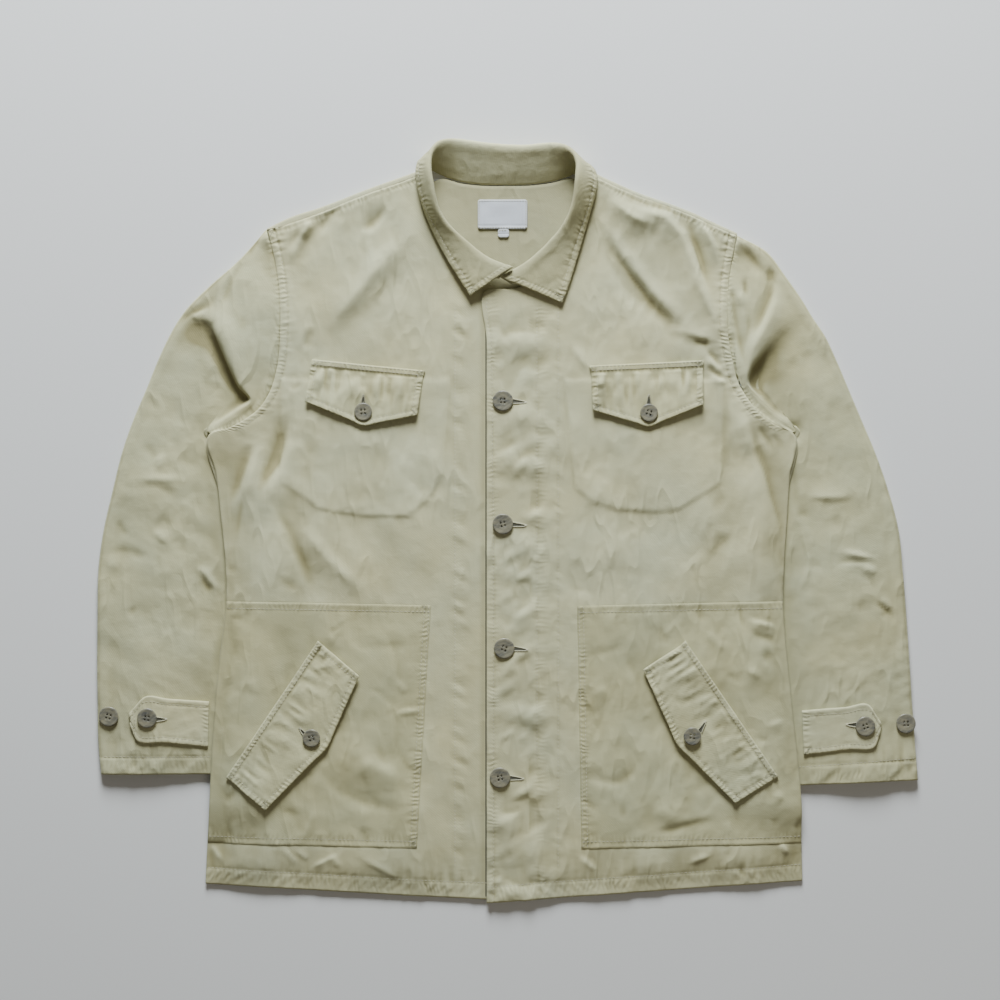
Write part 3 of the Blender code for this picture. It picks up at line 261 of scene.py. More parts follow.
# Patch pockets: rows of the front's grid they cover, from its side to this column
PATCH_ROWS = (1, 7)
PATCH_COLUMN = 9
# Flaps: x, y along the stitched top line, the fold line and the free edge, at the same marks
CHEST_FLAP = {-1: [
    (-207.5, 171.5, -209.5, 163, -214.5, 126.5), (-178, 168.5, -179, 160, -184, 114),
    (-150, 165.5, -150, 157.5, -152.5, 101), (-119, 162.5, -119.5, 155, -124, 106.5),
    (-87.5, 159.5, -89.5, 152.5, -96, 112)
], 1: [
    (87.5, 164.5, 89.5, 156.5, 91.5, 117.5), (118, 166, 119, 158.5, 121, 108.5),
    (149, 167.5, 149.5, 160, 151, 100), (179, 169, 179, 161.5, 180, 111.5),
    (209.5, 170.5, 208.5, 163, 208.5, 123)
]}
LOWER_FLAP = {-1: [
    (-201.5, -128.5, -196, -133.5, -157.5, -165.5), (-225.5, -164.5, -219.5, -168, -174.5, -203.5),
    (-250, -201, -244, -205, -191.5, -241.5), (-274, -237, -268, -240.5, -224, -274.5),
    (-298.5, -273.5, -293, -277, -257, -308)
], 1: [
    (190, -128.5, 185, -133, 145, -159), (214.5, -164.5, 209, -168.5, 163, -199),
    (239, -200.5, 233, -204, 181.5, -239), (263.5, -236.5, 258, -240, 212, -270),
    (288, -272.5, 282, -276, 243, -301)
]}
# Cuff tabs: x, y of the upper and the lower edge, from the button end to the body
TAB = {-1: [
    (-402.5, -206, -400.5, -220), (-396, -198.5, -398, -227), (-385.5, -188, -395, -233),
    (-360, -190, -364, -236.5), (-335, -192, -338, -239.5), (-318, -193.3, -319, -241.5)
], 1: [
    (398.5, -216, 397.5, -225), (392.5, -207, 395.5, -232), (385, -196.5, 392, -240.5), (360, -199, 364, -244),
    (335, -201, 338, -247.5), (314.5, -203, 316.5, -250)
]}

LABEL = (-31, 21.5, 311.5, 342.5)        # x from, x to, y from, y to
SIZE_TAB = (-9.5, 2.0, 302.5, 311.0)

# Buttons: name, x, y, diameter, thickness
BUTTONS = [
    ("button_front_1", -4.5, 127.5, 22, 3.0), ("button_front_2", -4.5, -4, 22, 3.0),
    ("button_front_3", -3.0, -136.5, 22, 3.0), ("button_front_4", -7.5, -274.5, 22, 3.0),
    ("button_chest_left", -153, 115.5, 19, 2.8), ("button_chest_right", 151, 114.5, 19, 2.8),
    ("button_pocket_left", -208, -231.5, 19, 2.8), ("button_pocket_right", 197, -229.5, 19, 2.8),
    ("button_tab_left", -382.5, -210, 21, 2.8), ("button_tab_right", 381, -219, 21, 2.8),
    ("button_spare_left", -424.5, -209, 21, 2.8), ("button_spare_right", 425, -216.5, 21, 2.8),
]
HOLE_RADIUS = 1.1
HOLE_OFFSET = 1.9

# Creases: height (less than 0 for a trough), half width, points of its line
FRONT_CREASES = {-1: [
    (1, 2.6, [(-240, -346), (-222, -369)]), (0.9, 2.6, [(-226, -350), (-210, -364)]),
    (1.1, 2.6, [(-209, -371), (-181, -356)]), (0.9, 2.6, [(-189, -356), (-177, -372)]),
    (1.1, 3, [(-318, -343), (-302, -367)]), (0.8, 3, [(-158, -358), (-109, -386)]),
    (3.4, 13, [(-108, 304), (-158, 245), (-198, 197)]), (-2, 6, [(-176, 337), (-194, 318), (-198, 304)]),
    (-2, 7, [(-128, 337), (-143, 318), (-160, 309)]), (-1.8, 5, [(-209, 208), (-217, 180)]),
    (2.2, 8, [(-205, 325), (-222, 296), (-233, 270)]), (-1.6, 7, [(-212, 317), (-227, 299), (-236, 285)]),
    (1.8, 7, [(-207, 322), (-221, 298)]), (-1.5, 10, [(-189, 330), (-218, 293), (-227, 256)]),
    (1.2, 5, [(-210, 212), (-218, 178)]), (-1, 5, [(-232, 138), (-217, 149)]),
    (-2, 7, [(-235, 113), (-243, 75), (-259, 43), (-270, 22)]),
    (2.2, 9, [(-227, 107), (-232, 70), (-248, 32), (-256, 16)]),
    (-2, 6, [(-272, 86), (-286, 43), (-300, 11)]), (2, 6, [(-262, 86), (-275, 43), (-288, 9)]),
    (-1.2, 3, [(-273, 70), (-282, 22), (-290, -32)]),
    (-2, 6, [(-254, 27), (-232, -10), (-216, -43), (-200, -80)]),
    (2.2, 11, [(-227, 0), (-189, -43), (-147, -83)]), (-1.4, 5, [(-240, -10), (-221, -43), (-205, -83)]),
    (-1, 5, [(-248, -59), (-221, -75)]), (-0.8, 3, [(-299, -53), (-286, -53)]),
    (-1, 4, [(-173, -104), (-195, -123)]), (1, 3, [(-192, -119), (-172, -104)]),
    (-1.2, 7, [(-300, -138), (-288, -131)]), (0.8, 4, [(-277, -167), (-266, -186)]),
    (-1, 8, [(-169, -135), (-125, -134), (-84, -133)]), (-0.8, 3, [(-149, -176), (-128, -190), (-115, -204)]),
    (1, 2.5, [(-117, -169), (-107, -185)]),
    (-0.7, 3, [(-135, -114), (-124, -128), (-117, -151), (-114, -179), (-112, -201)]),
    (1.2, 3, [(-119, -209), (-110, -204), (-91, -204)]),
    (-0.8, 3, [(-117, -213), (-119, -234), (-110, -257), (-89, -279)]),
    (-0.6, 2.5, [(-110, -246), (-87, -246)]),
    (-2, 9, [(-199, -270), (-188, -280), (-172, -291), (-146, -302), (-110, -307)]),
    (2, 12, [(-163, -248), (-146, -261), (-110, -277)]), (-0.8, 3, [(-209, -266), (-209, -277)]),
    (-1, 5, [(-245, -307), (-220, -316)]), (0.8, 2.5, [(-206, -307), (-213, -328), (-217, -337)]),
    (-1.5, 3, [(-158, -328), (-150, -335), (-149, -350)]), (-1.5, 5, [(-314, -321), (-296, -334)]),
    (-0.8, 4, [(-300, -300), (-288, -287)]), (-1, 5, [(-309, -202), (-300, -222), (-296, -240)]),
    (-0.8, 3, [(-295, -103), (-280, -105)])
], 1: [
    (1.5, 3, [(77, -357), (97, -376)]), (1.2, 3, [(194, -366), (216, -357)]),
    (1.4, 3, [(291, -344), (301, -357)]), (-1.6, 3, [(245, -366), (255, -382)]),
    (3, 8, [(106, 345), (135, 322), (160, 314)]),
    (3, 9, [(104, 318), (125, 281), (155, 243), (186, 207), (205, 192)]),
    (2.4, 6, [(198, 326), (215, 301), (226, 265)]), (1.2, 5, [(172, 205), (200, 198), (226, 187)]),
    (3.6, 9, [(100, 359), (132, 332), (174, 319), (196, 278), (224, 204)]),
    (-2.4, 7, [(190, 327), (207, 278), (219, 236)]), (-3, 9, [(92, 318), (142, 246), (185, 204), (212, 188)]),
    (-1.2, 4, [(198, 303), (205, 282), (209, 251)]), (1.2, 4, [(209, 317), (223, 286)]),
    (1.2, 5, [(198, 263), (218, 220), (225, 201)]), (-1.4, 4, [(196, 191), (220, 188)]),
    (-1.4, 3, [(212, 183), (229, 164)]), (1.4, 4, [(209, 175), (231, 154)]),
    (-1.2, 3, [(212, 164), (233, 150)]), (1.2, 4, [(214, 154), (235, 145)]),
    (-2, 7, [(254, 115), (271, 64), (276, 54), (297, -10), (300, -43)]), (2, 8, [(249, 119), (257, 64)]),
    (-1.4, 5, [(266, 102), (287, 72)]), (-1.2, 4, [(281, 93), (297, 74)]), (-1.3, 6, [(244, -10), (210, -43)]),
    (-1, 5, [(196, -43), (207, -75)]), (-0.8, 6, [(62, -69), (100, -80)]),
    (-1, 3, [(204, -85), (209, -107)]), (-1, 3, [(247, -86), (251, -117)]),
    (1.2, 4, [(255, -107), (276, -111), (292, -117)]), (1.2, 5, [(70, 188), (87, 158)]),
    (-0.5, 4, [(-9, 209), (3, 188)]), (-0.5, 4, [(-6, 177), (4, 161), (19, 150)]),
    (-1.2, 4, [(160, -112), (167, -123), (174, -133)]), (-0.8, 3, [(204, -94), (207, -110)]),
    (-1, 3, [(247, -89), (250, -105), (259, -117)]),
    (-1, 3, [(254, -94), (261, -103), (277, -107), (291, -105)]),
    (-1.6, 4, [(257, -115), (271, -124), (296, -129)]), (0.8, 5, [(209, -115), (222, -128), (241, -142)]),
    (-1.5, 8, [(270, -149), (284, -140)]), (-0.9, 3, [(234, -163), (252, -174)]),
    (1, 4, [(254, -156), (273, -169)]), (-1.2, 3, [(262, -231), (280, -236)]),
    (1, 4, [(275, -220), (296, -213)]), (-1, 4, [(277, -280), (280, -296), (287, -300)]),
    (1, 5, [(284, -289), (294, -298)]), (-1, 4, [(282, -316), (287, -327)]),
    (-1.2, 3, [(307, -332), (314, -316)]), (-1.5, 7, [(128, -144), (137, -163), (144, -186)]),
    (-0.9, 6, [(78, -144), (103, -142), (129, -128)]), (-1, 4, [(80, -195), (98, -211)]),
    (0.9, 7, [(90, -190), (108, -176)]),
    (-1.8, 7, [(78, -270), (112, -279), (128, -273), (138, -257), (145, -245)]),
    (-1, 4, [(158, -240), (160, -266), (145, -298)]), (-1.3, 4, [(78, -295), (94, -309), (103, -316)]),
    (-1.2, 7, [(121, -293), (122, -309), (133, -321)]), (1.8, 12, [(153, -302), (174, -314), (195, -316)]),
    (-1.8, 5, [(153, -335), (174, -330), (202, -323), (227, -319)]), (-0.9, 4, [(206, -316), (222, -293)]),
    (0.8, 3, [(234, -319), (238, -337)])
]}
SLEEVE_CREASES = {-1: [
    (2.2, 5, [(-278, 292), (-301, 250), (-311, 216)]),
    (-1.2, 5, [(-323, 206), (-312, 181), (-299, 151), (-282, 126)]),
    (-1.5, 6, [(-278, 289), (-292, 265), (-301, 244), (-311, 216)]),
    (-1.5, 5, [(-260, 303), (-272, 289), (-276, 273)]), (-1.3, 4, [(-317, 230), (-339, 220), (-350, 208)]),
    (1.3, 5, [(-316, 225), (-338, 214)]), (-1.2, 8, [(-387, 86), (-377, 66), (-376, 55)]),
    (1, 7, [(-372, 71), (-368, 55)]), (1.4, 6, [(-397, 44), (-360, 43), (-338, 44)]),
    (-1.5, 7, [(-396, 37), (-372, 37), (-358, 27), (-349, 20)]), (-1, 9, [(-372, 7), (-355, -9)]),
    (1.3, 5, [(-377, -10), (-365, -22), (-366, -27)]), (-1.4, 5, [(-417, 1), (-409, -12), (-408, -20)]),
    (-1, 7, [(-377, -22), (-370, -37), (-371, -61)]),
    (-1.9, 7, [(-427, -33), (-406, -33), (-389, -38), (-377, -43)]), (1.2, 8, [(-429, -46), (-413, -50)]),
    (-0.8, 5, [(-346, -15), (-346, -39)]), (1.8, 4, [(-333, -49), (-323, -55), (-314, -69), (-310, -75)]),
    (-1.6, 5, [(-327, -59), (-321, -69), (-315, -80)]), (-1, 5, [(-403, -93), (-397, -101)])
], 1: [
    (-1.6, 5, [(276, 177), (269, 152), (267, 128)]), (-1.4, 5, [(284, 270), (281, 262), (276, 254)]),
    (-1.6, 6, [(244, 296), (258, 284), (266, 272), (276, 260)]),
    (-1.7, 5, [(239, 250), (243, 218), (250, 180), (256, 152)]), (1.3, 5, [(248, 256), (251, 220), (255, 185)]),
    (3, 8, [(289, 255), (285, 232), (271, 201), (261, 182), (254, 160)]),
    (-1.8, 6, [(282, 267), (281, 241), (271, 214), (258, 189)]), (1.3, 5, [(238, 261), (244, 241), (258, 225)]),
    (-1.3, 4, [(253, 259), (254, 237)]), (-1, 4, [(240, 252), (242, 232)]),
    (-1.2, 4, [(257, 221), (256, 206), (253, 182)]), (-1, 4, [(236, 197), (242, 182)]),
    (-1.5, 6, [(304, 61), (309, 12)]), (1.5, 5, [(317, 26), (371, 24)]),
    (-1.2, 6, [(345, 22), (361, 22), (373, 23)]), (-1, 5, [(308, 7), (323, 7)]),
    (2, 4, [(355, -33), (373, -37), (393, -42)]),
    (-1.9, 4, [(350, -50), (356, -44), (378, -43), (390, -44), (397, -50)]), (1.4, 5, [(378, -50), (394, -56)]),
    (-1, 4, [(373, -56), (388, -64), (389, -77)]), (-1.8, 3, [(390, -85), (405, -96), (416, -106)]),
    (1.2, 3, [(398, -82), (408, -95)]), (-1, 3, [(398, -104), (405, -97)]),
    (-0.9, 6, [(320, -47), (338, -49)]), (-1, 6, [(371, -96), (385, -86)])
]}
FLAP_CREASES = {-1: [
    (0.8, 3, [(-217, -160), (-183, -154)]),
    (-1, 3.5, [(-181, -158), (-183, -178), (-188, -201), (-186, -213)]),
    (-1.2, 4, [(-240, -193), (-236, -204), (-224, -218), (-217, -231)]),
    (-1, 8, [(-217, -195), (-206, -208)]), (-1, 4, [(-257, -218), (-255, -234), (-256, -272)]),
    (-0.7, 3, [(-268, -238), (-268, -266)])
], 1: [
    (-1.3, 4, [(172, -186), (188, -193), (206, -185), (218, -179)]), (-0.8, 6, [(163, -158), (192, -163)]),
    (-1, 3, [(172, -147), (192, -142)]), (-1.2, 4, [(227, -195), (216, -211), (209, -220)]),
    (1, 4, [(227, -201), (247, -215)]), (-1, 4, [(241, -245), (245, -261)]),
    (-1, 3, [(222, -275), (238, -282)]), (-1, 4, [(255, -266), (264, -280)])
]}
# Pocket bags of the chest pockets show as a soft raised plate under the fronts
BAG = {-1: [
    (-240, 150), (-240, 40), (-199, 12), (-154, 4.5), (-105, 4), (-84, 23), (-70, 45), (-62, 150)
], 1: [
    (62, 150), (74, 33), (92, 19.5), (120, 11), (155, 9), (182, 11), (228, 40), (230, 150)
]}


def ramp(value, start, end):
    """0 at start, 1 at end, smooth between."""
    t = np.clip((value - start) / (end - start), 0.0, 1.0)
    return t * t * (3.0 - 2.0 * t)


def bell(value, width):
    """1 at 0, falling smoothly to both sides."""
    return np.exp(-(value / width) ** 2)


def lengths(points):
    """How far along a line each of its points is."""
    return np.concatenate([[0], np.cumsum(np.linalg.norm(np.diff(points, axis=0), axis=1))])


def unit(vectors):
    return vectors / np.maximum(np.linalg.norm(vectors, axis=-1, keepdims=True), 1e-9)


def cells(ids):
    """The four corners of each cell of a grid of point numbers."""
    return np.stack([ids[:-1, :-1], ids[:-1, 1:], ids[1:, 1:], ids[1:, :-1]], axis=-1)


def spline(points, shares):
    """Points of a Catmull-Rom curve through the given ones, at these shares of its length."""
    points = np.array(points, float)
    ends = np.vstack([2 * points[0] - points[1], points, 2 * points[-1] - points[-2]])
    fine = []
    steps = 12
    for i in range(len(points) - 1):
        p0, p1, p2, p3 = ends[i:i + 4]
        for k in range(steps):
            t = k / steps
            fine.append(0.5 * (2 * p1 + (p2 - p0) * t + (2 * p0 - 5 * p1 + 4 * p2 - p3) * t ** 2
                               + (3 * p1 - p0 - 3 * p2 + p3) * t ** 3))
    fine.append(points[-1])
    return polyline(fine, shares)


def polyline(points, shares):
    """Points of an open line at these shares of its length."""
    points = np.array(points, float)
    length = lengths(points)
    return at_lengths(points, length, np.array(shares) * length[-1])


def at_lengths(points, length, wanted):
    return np.stack([np.interp(wanted, length, points[:, k]) for k in range(points.shape[1])], axis=-1)


def side_x(side, y):
    line = np.array(SIDE[side])
    return np.interp(y, line[:, 1], line[:, 0])


def sleeve_lift(x, y):
    """How far the body is held up by the sleeves tucked under its sides."""
    depth = np.where(x < 0, x - side_x(-1, y), side_x(1, y) - x)
    across = 1.0 - ramp(depth, TUCK + 4, TUCK + 52)
    along = ramp(y, -345, -296) * (1.0 - ramp(y, 94, 165))
    return (SLEEVE_HIGH + REST) * across * along


def shoulder_y(side, x):
    line = np.array(SHOULDER[side])[:, 2:]
    order = np.argsort(line[:, 0])
    return np.interp(x, line[order, 0], line[order, 1])


def armhole_x(side, y):
    line = np.array(ARMHOLE[side])[3:]
    return np.interp(y, line[:, 1], line[:, 0])


def fold_height(x, y):
    total = 0.0
    for x0, y0, x1, y1, half, height in FOLDS:
        along = np.array([x1 - x0, y1 - y0], float)
        length = np.hypot(*along)
        along /= length
        run = (x - x0) * along[0] + (y - y0) * along[1]
        off = (x - x0) * along[1] - (y - y0) * along[0]
        ends = ramp(run, -half, half) * (1.0 - ramp(run, length - half, length + half))
        total = total + height * ends * bell(off, half)
    return total


def hem_y(x):
    return np.interp(x, [-322, -98, -21.5, 20, 80, 315.5], [-388, -397.5, -408.5, -403, -396, -385])


def unevenness(x, y):
    return WAVE * (1.0 + np.sin(x / 29.0 + 0.7) * np.sin(y / 37.0))


def front_under(side, x, y):
    """Height of a front's underside, as in the part. The front at the right lies on top at the placket."""
    depth = side * (side_x(side, y) - x)
    edge = ramp(depth, 0, 30) * ramp(y - hem_y(x), 0, 28)
    if side > 0:
        loft = np.maximum(HOLLOW * edge, HOLLOW * (1.0 - ramp(x, 26, 62)))
    else:
        loft = HOLLOW * edge * (1.0 - ramp(x, -75, -34))
    rise = SHOULDER_HIGH - WALL - REST - HOLLOW
    shoulder = rise * (1.0 - ramp(shoulder_y(side, x) - y, 0, 45)) * ramp(y, 200, 260)
    cap = 3.0 * bell(x - armhole_x(side, y), 38.0) * ramp(y, 85, 130) * (1.0 - ramp(y, 230, 290))
    lapped = 0.8 * (1.0 - ramp(depth, 0, 14)) * ramp(y, 40, 92)
    quiet = ramp(abs(x), 45, 80)
    folds = fold_height(x, y) * edge * quiet
    return sleeve_lift(x, y) + WALL + REST + loft + shoulder + cap + lapped + folds + unevenness(x, y)


# ---------------------------------------------------------------- relief of the cloth

def beside(x, y, line):
    """Signed distance of places from a line, how far along it they are, and its length."""
    line = np.array(line, float)
    best = np.full(np.shape(x), 1e9)
    off = np.zeros(np.shape(x))
    run = np.zeros(np.shape(x))
    start = 0.0
    for a, b in zip(line[:-1], line[1:]):
        along = b - a
        length = max(np.hypot(*along), 1e-6)
        along = along / length
        t = np.clip((x - a[0]) * along[0] + (y - a[1]) * along[1], 0.0, length)
        dx, dy = x - a[0] - along[0] * t, y - a[1] - along[1] * t
        gap = np.hypot(dx, dy)
        nearer = gap < best
        best = np.where(nearer, gap, best)
        off = np.where(nearer, np.where(along[0] * dy - along[1] * dx < 0, -gap, gap), off)
        run = np.where(nearer, start + t, run)
        start += length
    return off, run, start


def creases(x, y, rows, strength=1.0):
    """Height of the listed creases: each has a crisper side, and thins out at its ends."""
    total = np.zeros(np.shape(x))
    for number, (height, half, line) in enumerate(rows):
        line = spline(line, np.linspace(0, 1, 9)) if len(line) > 2 else np.array(line, float)
        reach = half * 3.2
        low, high = line.min(axis=0) - reach, line.max(axis=0) + reach
        near = (x > low[0]) & (x < high[0]) & (y > low[1]) & (y < high[1])
        if not near.any():
            continue
        if height < 0 and line[:, 1].max() < 100:
            height *= SHALLOW
        off, run, length = beside(x[near], y[near], line)
        lean = 0.72 if number % 2 else -0.72
        width = half * (1.0 + 0.45 * np.tanh(off * lean / half))
        ends = ramp(run, 0, 0.38 * length) * (1.0 - ramp(run, 0.6 * length, length))
        ends = 0.12 + 0.88 * ends
        total[near] += strength * height * ends * np.exp(-np.abs(off / width) ** 1.55)
    return total


def swell(x, y, size, seed):
    """Smooth random heights from -1 to 1 that change over size millimetres."""
    table = np.random.default_rng(seed).uniform(-1, 1, (61, 61))
    u, v = x / size + 30.0, y / size + 30.0
    i, j = np.floor(u).astype(int), np.floor(v).astype(int)
    fu, fv = u - i, v - j
    fu, fv = fu * fu * (3 - 2 * fu), fv * fv * (3 - 2 * fv)
    corner = [[table[(i + a) % 61, (j + b) % 61] for b in (0, 1)] for a in (0, 1)]
    low = corner[0][0] * (1 - fu) + corner[1][0] * fu
    high = corner[0][1] * (1 - fu) + corner[1][1] * fu
    return low * (1 - fv) + high * fv


def crumple(x, y, turn, seed):
    """Fine soft wrinkles with a main direction, from about -1 to 1."""
    c, s = np.cos(turn), np.sin(turn)
    u, v = x * c + y * s, -x * s + y * c
    broad = swell(u / 2.1, v, 17.0, seed)
    sharp = 1.0 - 2.2 * np.abs(swell(u / 1.7, v, 12.0, seed + 1))
    fine = swell(u / 1.4, v, 6.5, seed + 2)
    return 0.5 * broad + 0.32 * sharp * ramp(swell(x, y, 45.0, seed + 3), -0.3, 0.5) + 0.18 * fine


def plate(x, y, outline, soft):
    """1 inside a closed outline, falling to 0 over a soft edge."""
    closed = np.array(list(outline) + [outline[0]], float)
    off, _, _ = beside(x, y, closed)
    inside = np.zeros(np.shape(x), bool)
    for (ax, ay), (bx, by) in zip(closed[:-1], closed[1:]):
        if ay == by:
            continue
        crosses = (ay > y) != (by > y)
        inside ^= crosses & (x < (bx - ax) * (y - ay) / (by - ay) + ax)
    gap = np.where(inside, np.abs(off), -np.abs(off))
    return ramp(gap, -soft, soft)


def sewn(away, run, band, puff, pucker, pitch, seed, groove=0.45):
    """Relief of a topstitched edge: a padded band, the sunk stitch line and the puckers across it."""
    jitter = swell(run, run * 0 + 5.0, 23.0, seed)
    wave = 0.5 * np.sin(2 * np.pi * run / pitch + 2.4 * jitter + 0.35 * away / band)
    wave += 1.1 * swell(run + 0.25 * away, away * 0.35, pitch * 0.42, seed + 2)
    uneven = 0.65 + 0.55 * swell(run, run * 0 + 9.0, 31.0, seed + 1)
    across = bell(away - band, 0.8 * band + 2.0)
    padded = puff * ramp(away, 0.0, 1.6) * (1.0 - ramp(away, band - 2.2, band + 0.6))
    line = -groove * bell(away - band, 1.3)
    return padded + line + pucker * uneven * wave * across


# ---------------------------------------------------------------- grids and shells

def finer(grid, axis, counts, closed=False):
    """The grid with more points along one axis, on smooth curves through the given ones."""
    g = np.moveaxis(grid, axis, 0)
    before, after = (g[-1:], g[:2]) if closed else (2 * g[:1] - g[1:2], 2 * g[-1:] - g[-2:-1])
    g = np.concatenate([before, g, after])
    gap = np.linalg.norm(np.diff(g[..., :3], axis=0), axis=-1)[..., None] + 1e-6
    slope = np.diff(g, axis=0) / gap
    slope_at = (slope[:-1] * gap[1:] + slope[1:] * gap[:-1]) / (gap[:-1] + gap[1:])
    out = []
    for i, count in enumerate(counts):
        p, q, h = g[i + 1], g[i + 2], gap[i + 1]
        a, b = slope_at[i] * h, slope_at[i + 1] * h
        for k in range(count):
            t = k / count
            out.append((2 * t ** 3 - 3 * t ** 2 + 1) * p + (t ** 3 - 2 * t ** 2 + t) * a
                       + (-2 * t ** 3 + 3 * t ** 2) * q + (t ** 3 - t ** 2) * b)
    if not closed:
        out.append(g[-2])
    return np.moveaxis(np.array(out), 0, axis)


def steps(grid, axis, cell, closed=False):
    """How many cells each interval of a grid gets along an axis; the outermost ones are finer."""
    g = np.moveaxis(grid, axis, 0)
    if closed:
        g = np.concatenate([g, g[:1]])
    gap = np.nanmean(np.linalg.norm(np.diff(g[..., :3], axis=0), axis=-1), axis=1)
    counts = [max(1, int(np.ceil(length / cell))) for length in gap]
    for end in (() if closed else (0, -1)):
        counts[end] = max(counts[end], int(np.ceil(gap[end] / (cell * 0.7))))
    return counts


def refined(grid, cell):
    """The grid with cells of about one size both ways."""
    rows, cols = (steps(grid, axis, cell) for axis in (0, 1))
    return finer(finer(grid, 0, rows), 1, cols)


def turned(grid, side):
    """The grid with one of its sides as its first column."""
    if side in ("low", "high"):
        grid = grid.transpose(1, 0, 2)
    return grid[:, ::-1] if side in ("right", "high") else grid


def from_side(grid, side):
    """Distance of each point of a grid from one of its sides, and the place along that side."""
    grid = turned(grid, side)
    step = np.linalg.norm(np.diff(grid[..., :2], axis=1), axis=-1)
    away = np.concatenate([np.zeros((len(grid), 1)), np.cumsum(step, axis=1)], axis=1)
    run = np.repeat(lengths(grid[:, 0, :2])[:, None], grid.shape[1], axis=1)
    if side in ("right", "high"):
        away, run = away[:, ::-1], run[:, ::-1]
    return (away, run) if side in ("left", "right") else (away.T, run.T)


def line_from_side(grid, side, distance):
    """A line on a grid at a distance from one of its sides."""
    return np.array([at_lengths(row, lengths(row), distance) for row in turned(grid, side)])


def normals(grid, closed=False):
    """Unit normals of a grid of points; closed: its columns run round a loop."""
    across = np.roll(grid, -1, axis=1) - np.roll(grid, 1, axis=1) if closed else np.gradient(grid, axis=1)
    return unit(np.cross(across, np.gradient(grid, axis=0)))


def soften(height, rounds):
    """A grid of numbers evened out with its neighbours."""
    for _ in range(rounds):
        wide = np.pad(height, 1, mode="edge")
        height = (wide[1:-1, :-2] + wide[1:-1, 2:] + wide[:-2, 1:-1] + wide[2:, 1:-1]
                  + 2 * wide[1:-1, 1:-1]) / 6.0
    return height


def hollowness(grid):
    """How sunk each point lies against the cloth round it: above 0 in a trough, below 0 on a ridge."""
    near = soften(grid[..., 2], 10)
    return 0.6 * (near - grid[..., 2]) + 0.6 * (soften(near, 40) - grid[..., 2])


def gathered(grid, seams, marks):
    """Adds where seams gather the cloth, 0 to 1, and how far along its seam each point is.

    Each of the seams is a side of the grid, a distance from it and a width.
    """
    marks = {**marks, "gather": 0 * grid[..., 0], "run": 0 * grid[..., 0]}
    for side, distance, width in seams:
        away, run = from_side(grid, side)
        add_gathers(marks, bell(away - distance, width), run)
    return marks


def add_gathers(marks, share, run):
    marks["run"] = np.where(share > marks["gather"], run, marks["run"])
    marks["gather"] = np.maximum(marks["gather"], share)


def shell(name, outer, inner, material, keep=None, closed=False, marks=None):
    """A closed wall between two grids of points, with a rounded rim, as a named object."""
    ids = np.arange(outer[..., 0].size).reshape(outer.shape[:2])
    if closed:
        ids = np.concatenate([ids, ids[:, :1]], axis=1)
    quads = cells(ids)
    quads = (quads[keep] if keep is not None else quads).reshape(-1, 4)
    top, low = outer.reshape(-1, 3), inner.reshape(-1, 3)
    count = len(top)
    edges = np.concatenate([quads[:, [k, (k + 1) % 4]] for k in range(4)])
    border = edges[~np.isin(edges[:, 0] * count + edges[:, 1], edges[:, 1] * count + edges[:, 0])]
    up = unit(top - low)
    out = unit(np.cross(top[border[:, 1]] - top[border[:, 0]], up[border[:, 0]]))
    a, b, c = top[quads[:, 0]], top[quads[:, 1]], top[quads[:, 3]]
    turn = np.sign(np.nansum(np.einsum("ij,ij->i", np.cross(b - a, c - a), up[quads[:, 0]])))
    push = np.zeros((count, 3))
    for end in (0, 1):
        np.add.at(push, border[:, end], out * turn)
    points = np.concatenate([top, low, (top + low) / 2 + unit(push) * ROUND])
    points[:, 2] = np.maximum(points[:, 2], 0.0)
    a, b = border[:, 0], border[:, 1]
    rims = [np.stack([b, a, a + 2 * count, b + 2 * count], axis=1),
            np.stack([b + 2 * count, a + 2 * count, a + count, b + count], axis=1)]
    faces = np.concatenate([quads, quads[:, ::-1] + count] + rims)
    if turn < 0:
        faces = faces[:, ::-1]
    used, faces = np.unique(faces, return_inverse=True)
    obj = mesh_object(name, points[used], faces.reshape(-1, 4).tolist(), material)
    obj.data.validate()
    for label, values in (marks or {}).items():
        whole = np.tile(values.ravel(), 3)[used].astype(np.float32)
        obj.data.attributes.new(label, "FLOAT", "POINT").data.foreach_set("value", whole)
    return obj


def mesh_object(name, points, faces, material):
    mesh = bpy.data.meshes.new(name)
    mesh.from_pydata((points * MM).tolist(), [], faces)
    mesh.shade_smooth()
    mesh.materials.append(material)
    obj = bpy.data.objects.new(name, mesh)
    bpy.context.scene.collection.objects.link(obj)
    return obj


def loose_mesh(name, chunks, material):
    """One object of many small pieces, each (points, faces)."""
    faces, start = [], 0
    for points, chunk_faces in chunks:
        faces += [tuple(i + start for i in face) for face in chunk_faces]
        start += len(points)
    return mesh_object(name, np.vstack([points for points, _ in chunks]), faces, material)


class Ground:
    """What lies under a place: the highest of the given grids."""

    def __init__(self, grids):
        points, faces, start = [], [], 0
        for grid in grids:
            ids = np.arange(grid[..., 0].size).reshape(grid.shape[:2]) + start
            points.append(grid.reshape(-1, 3))
            faces.append(cells(ids).reshape(-1, 4))
            start += ids.size
        self.tree = BVHTree.FromPolygons(np.vstack(points).tolist(), np.vstack(faces).tolist())

    def height(self, x, y):
        hit = self.tree.ray_cast(Vector((x, y, ABOVE_ALL)), Vector((0, 0, -1)))
        return 0.0 if hit[0] is None else hit[0].z

    def heights(self, plan):
        flat = plan.reshape(-1, plan.shape[-1])
        return np.array([self.height(*p[:2]) for p in flat]).reshape(plan.shape[:-1])


# ---------------------------------------------------------------- the pieces' grids

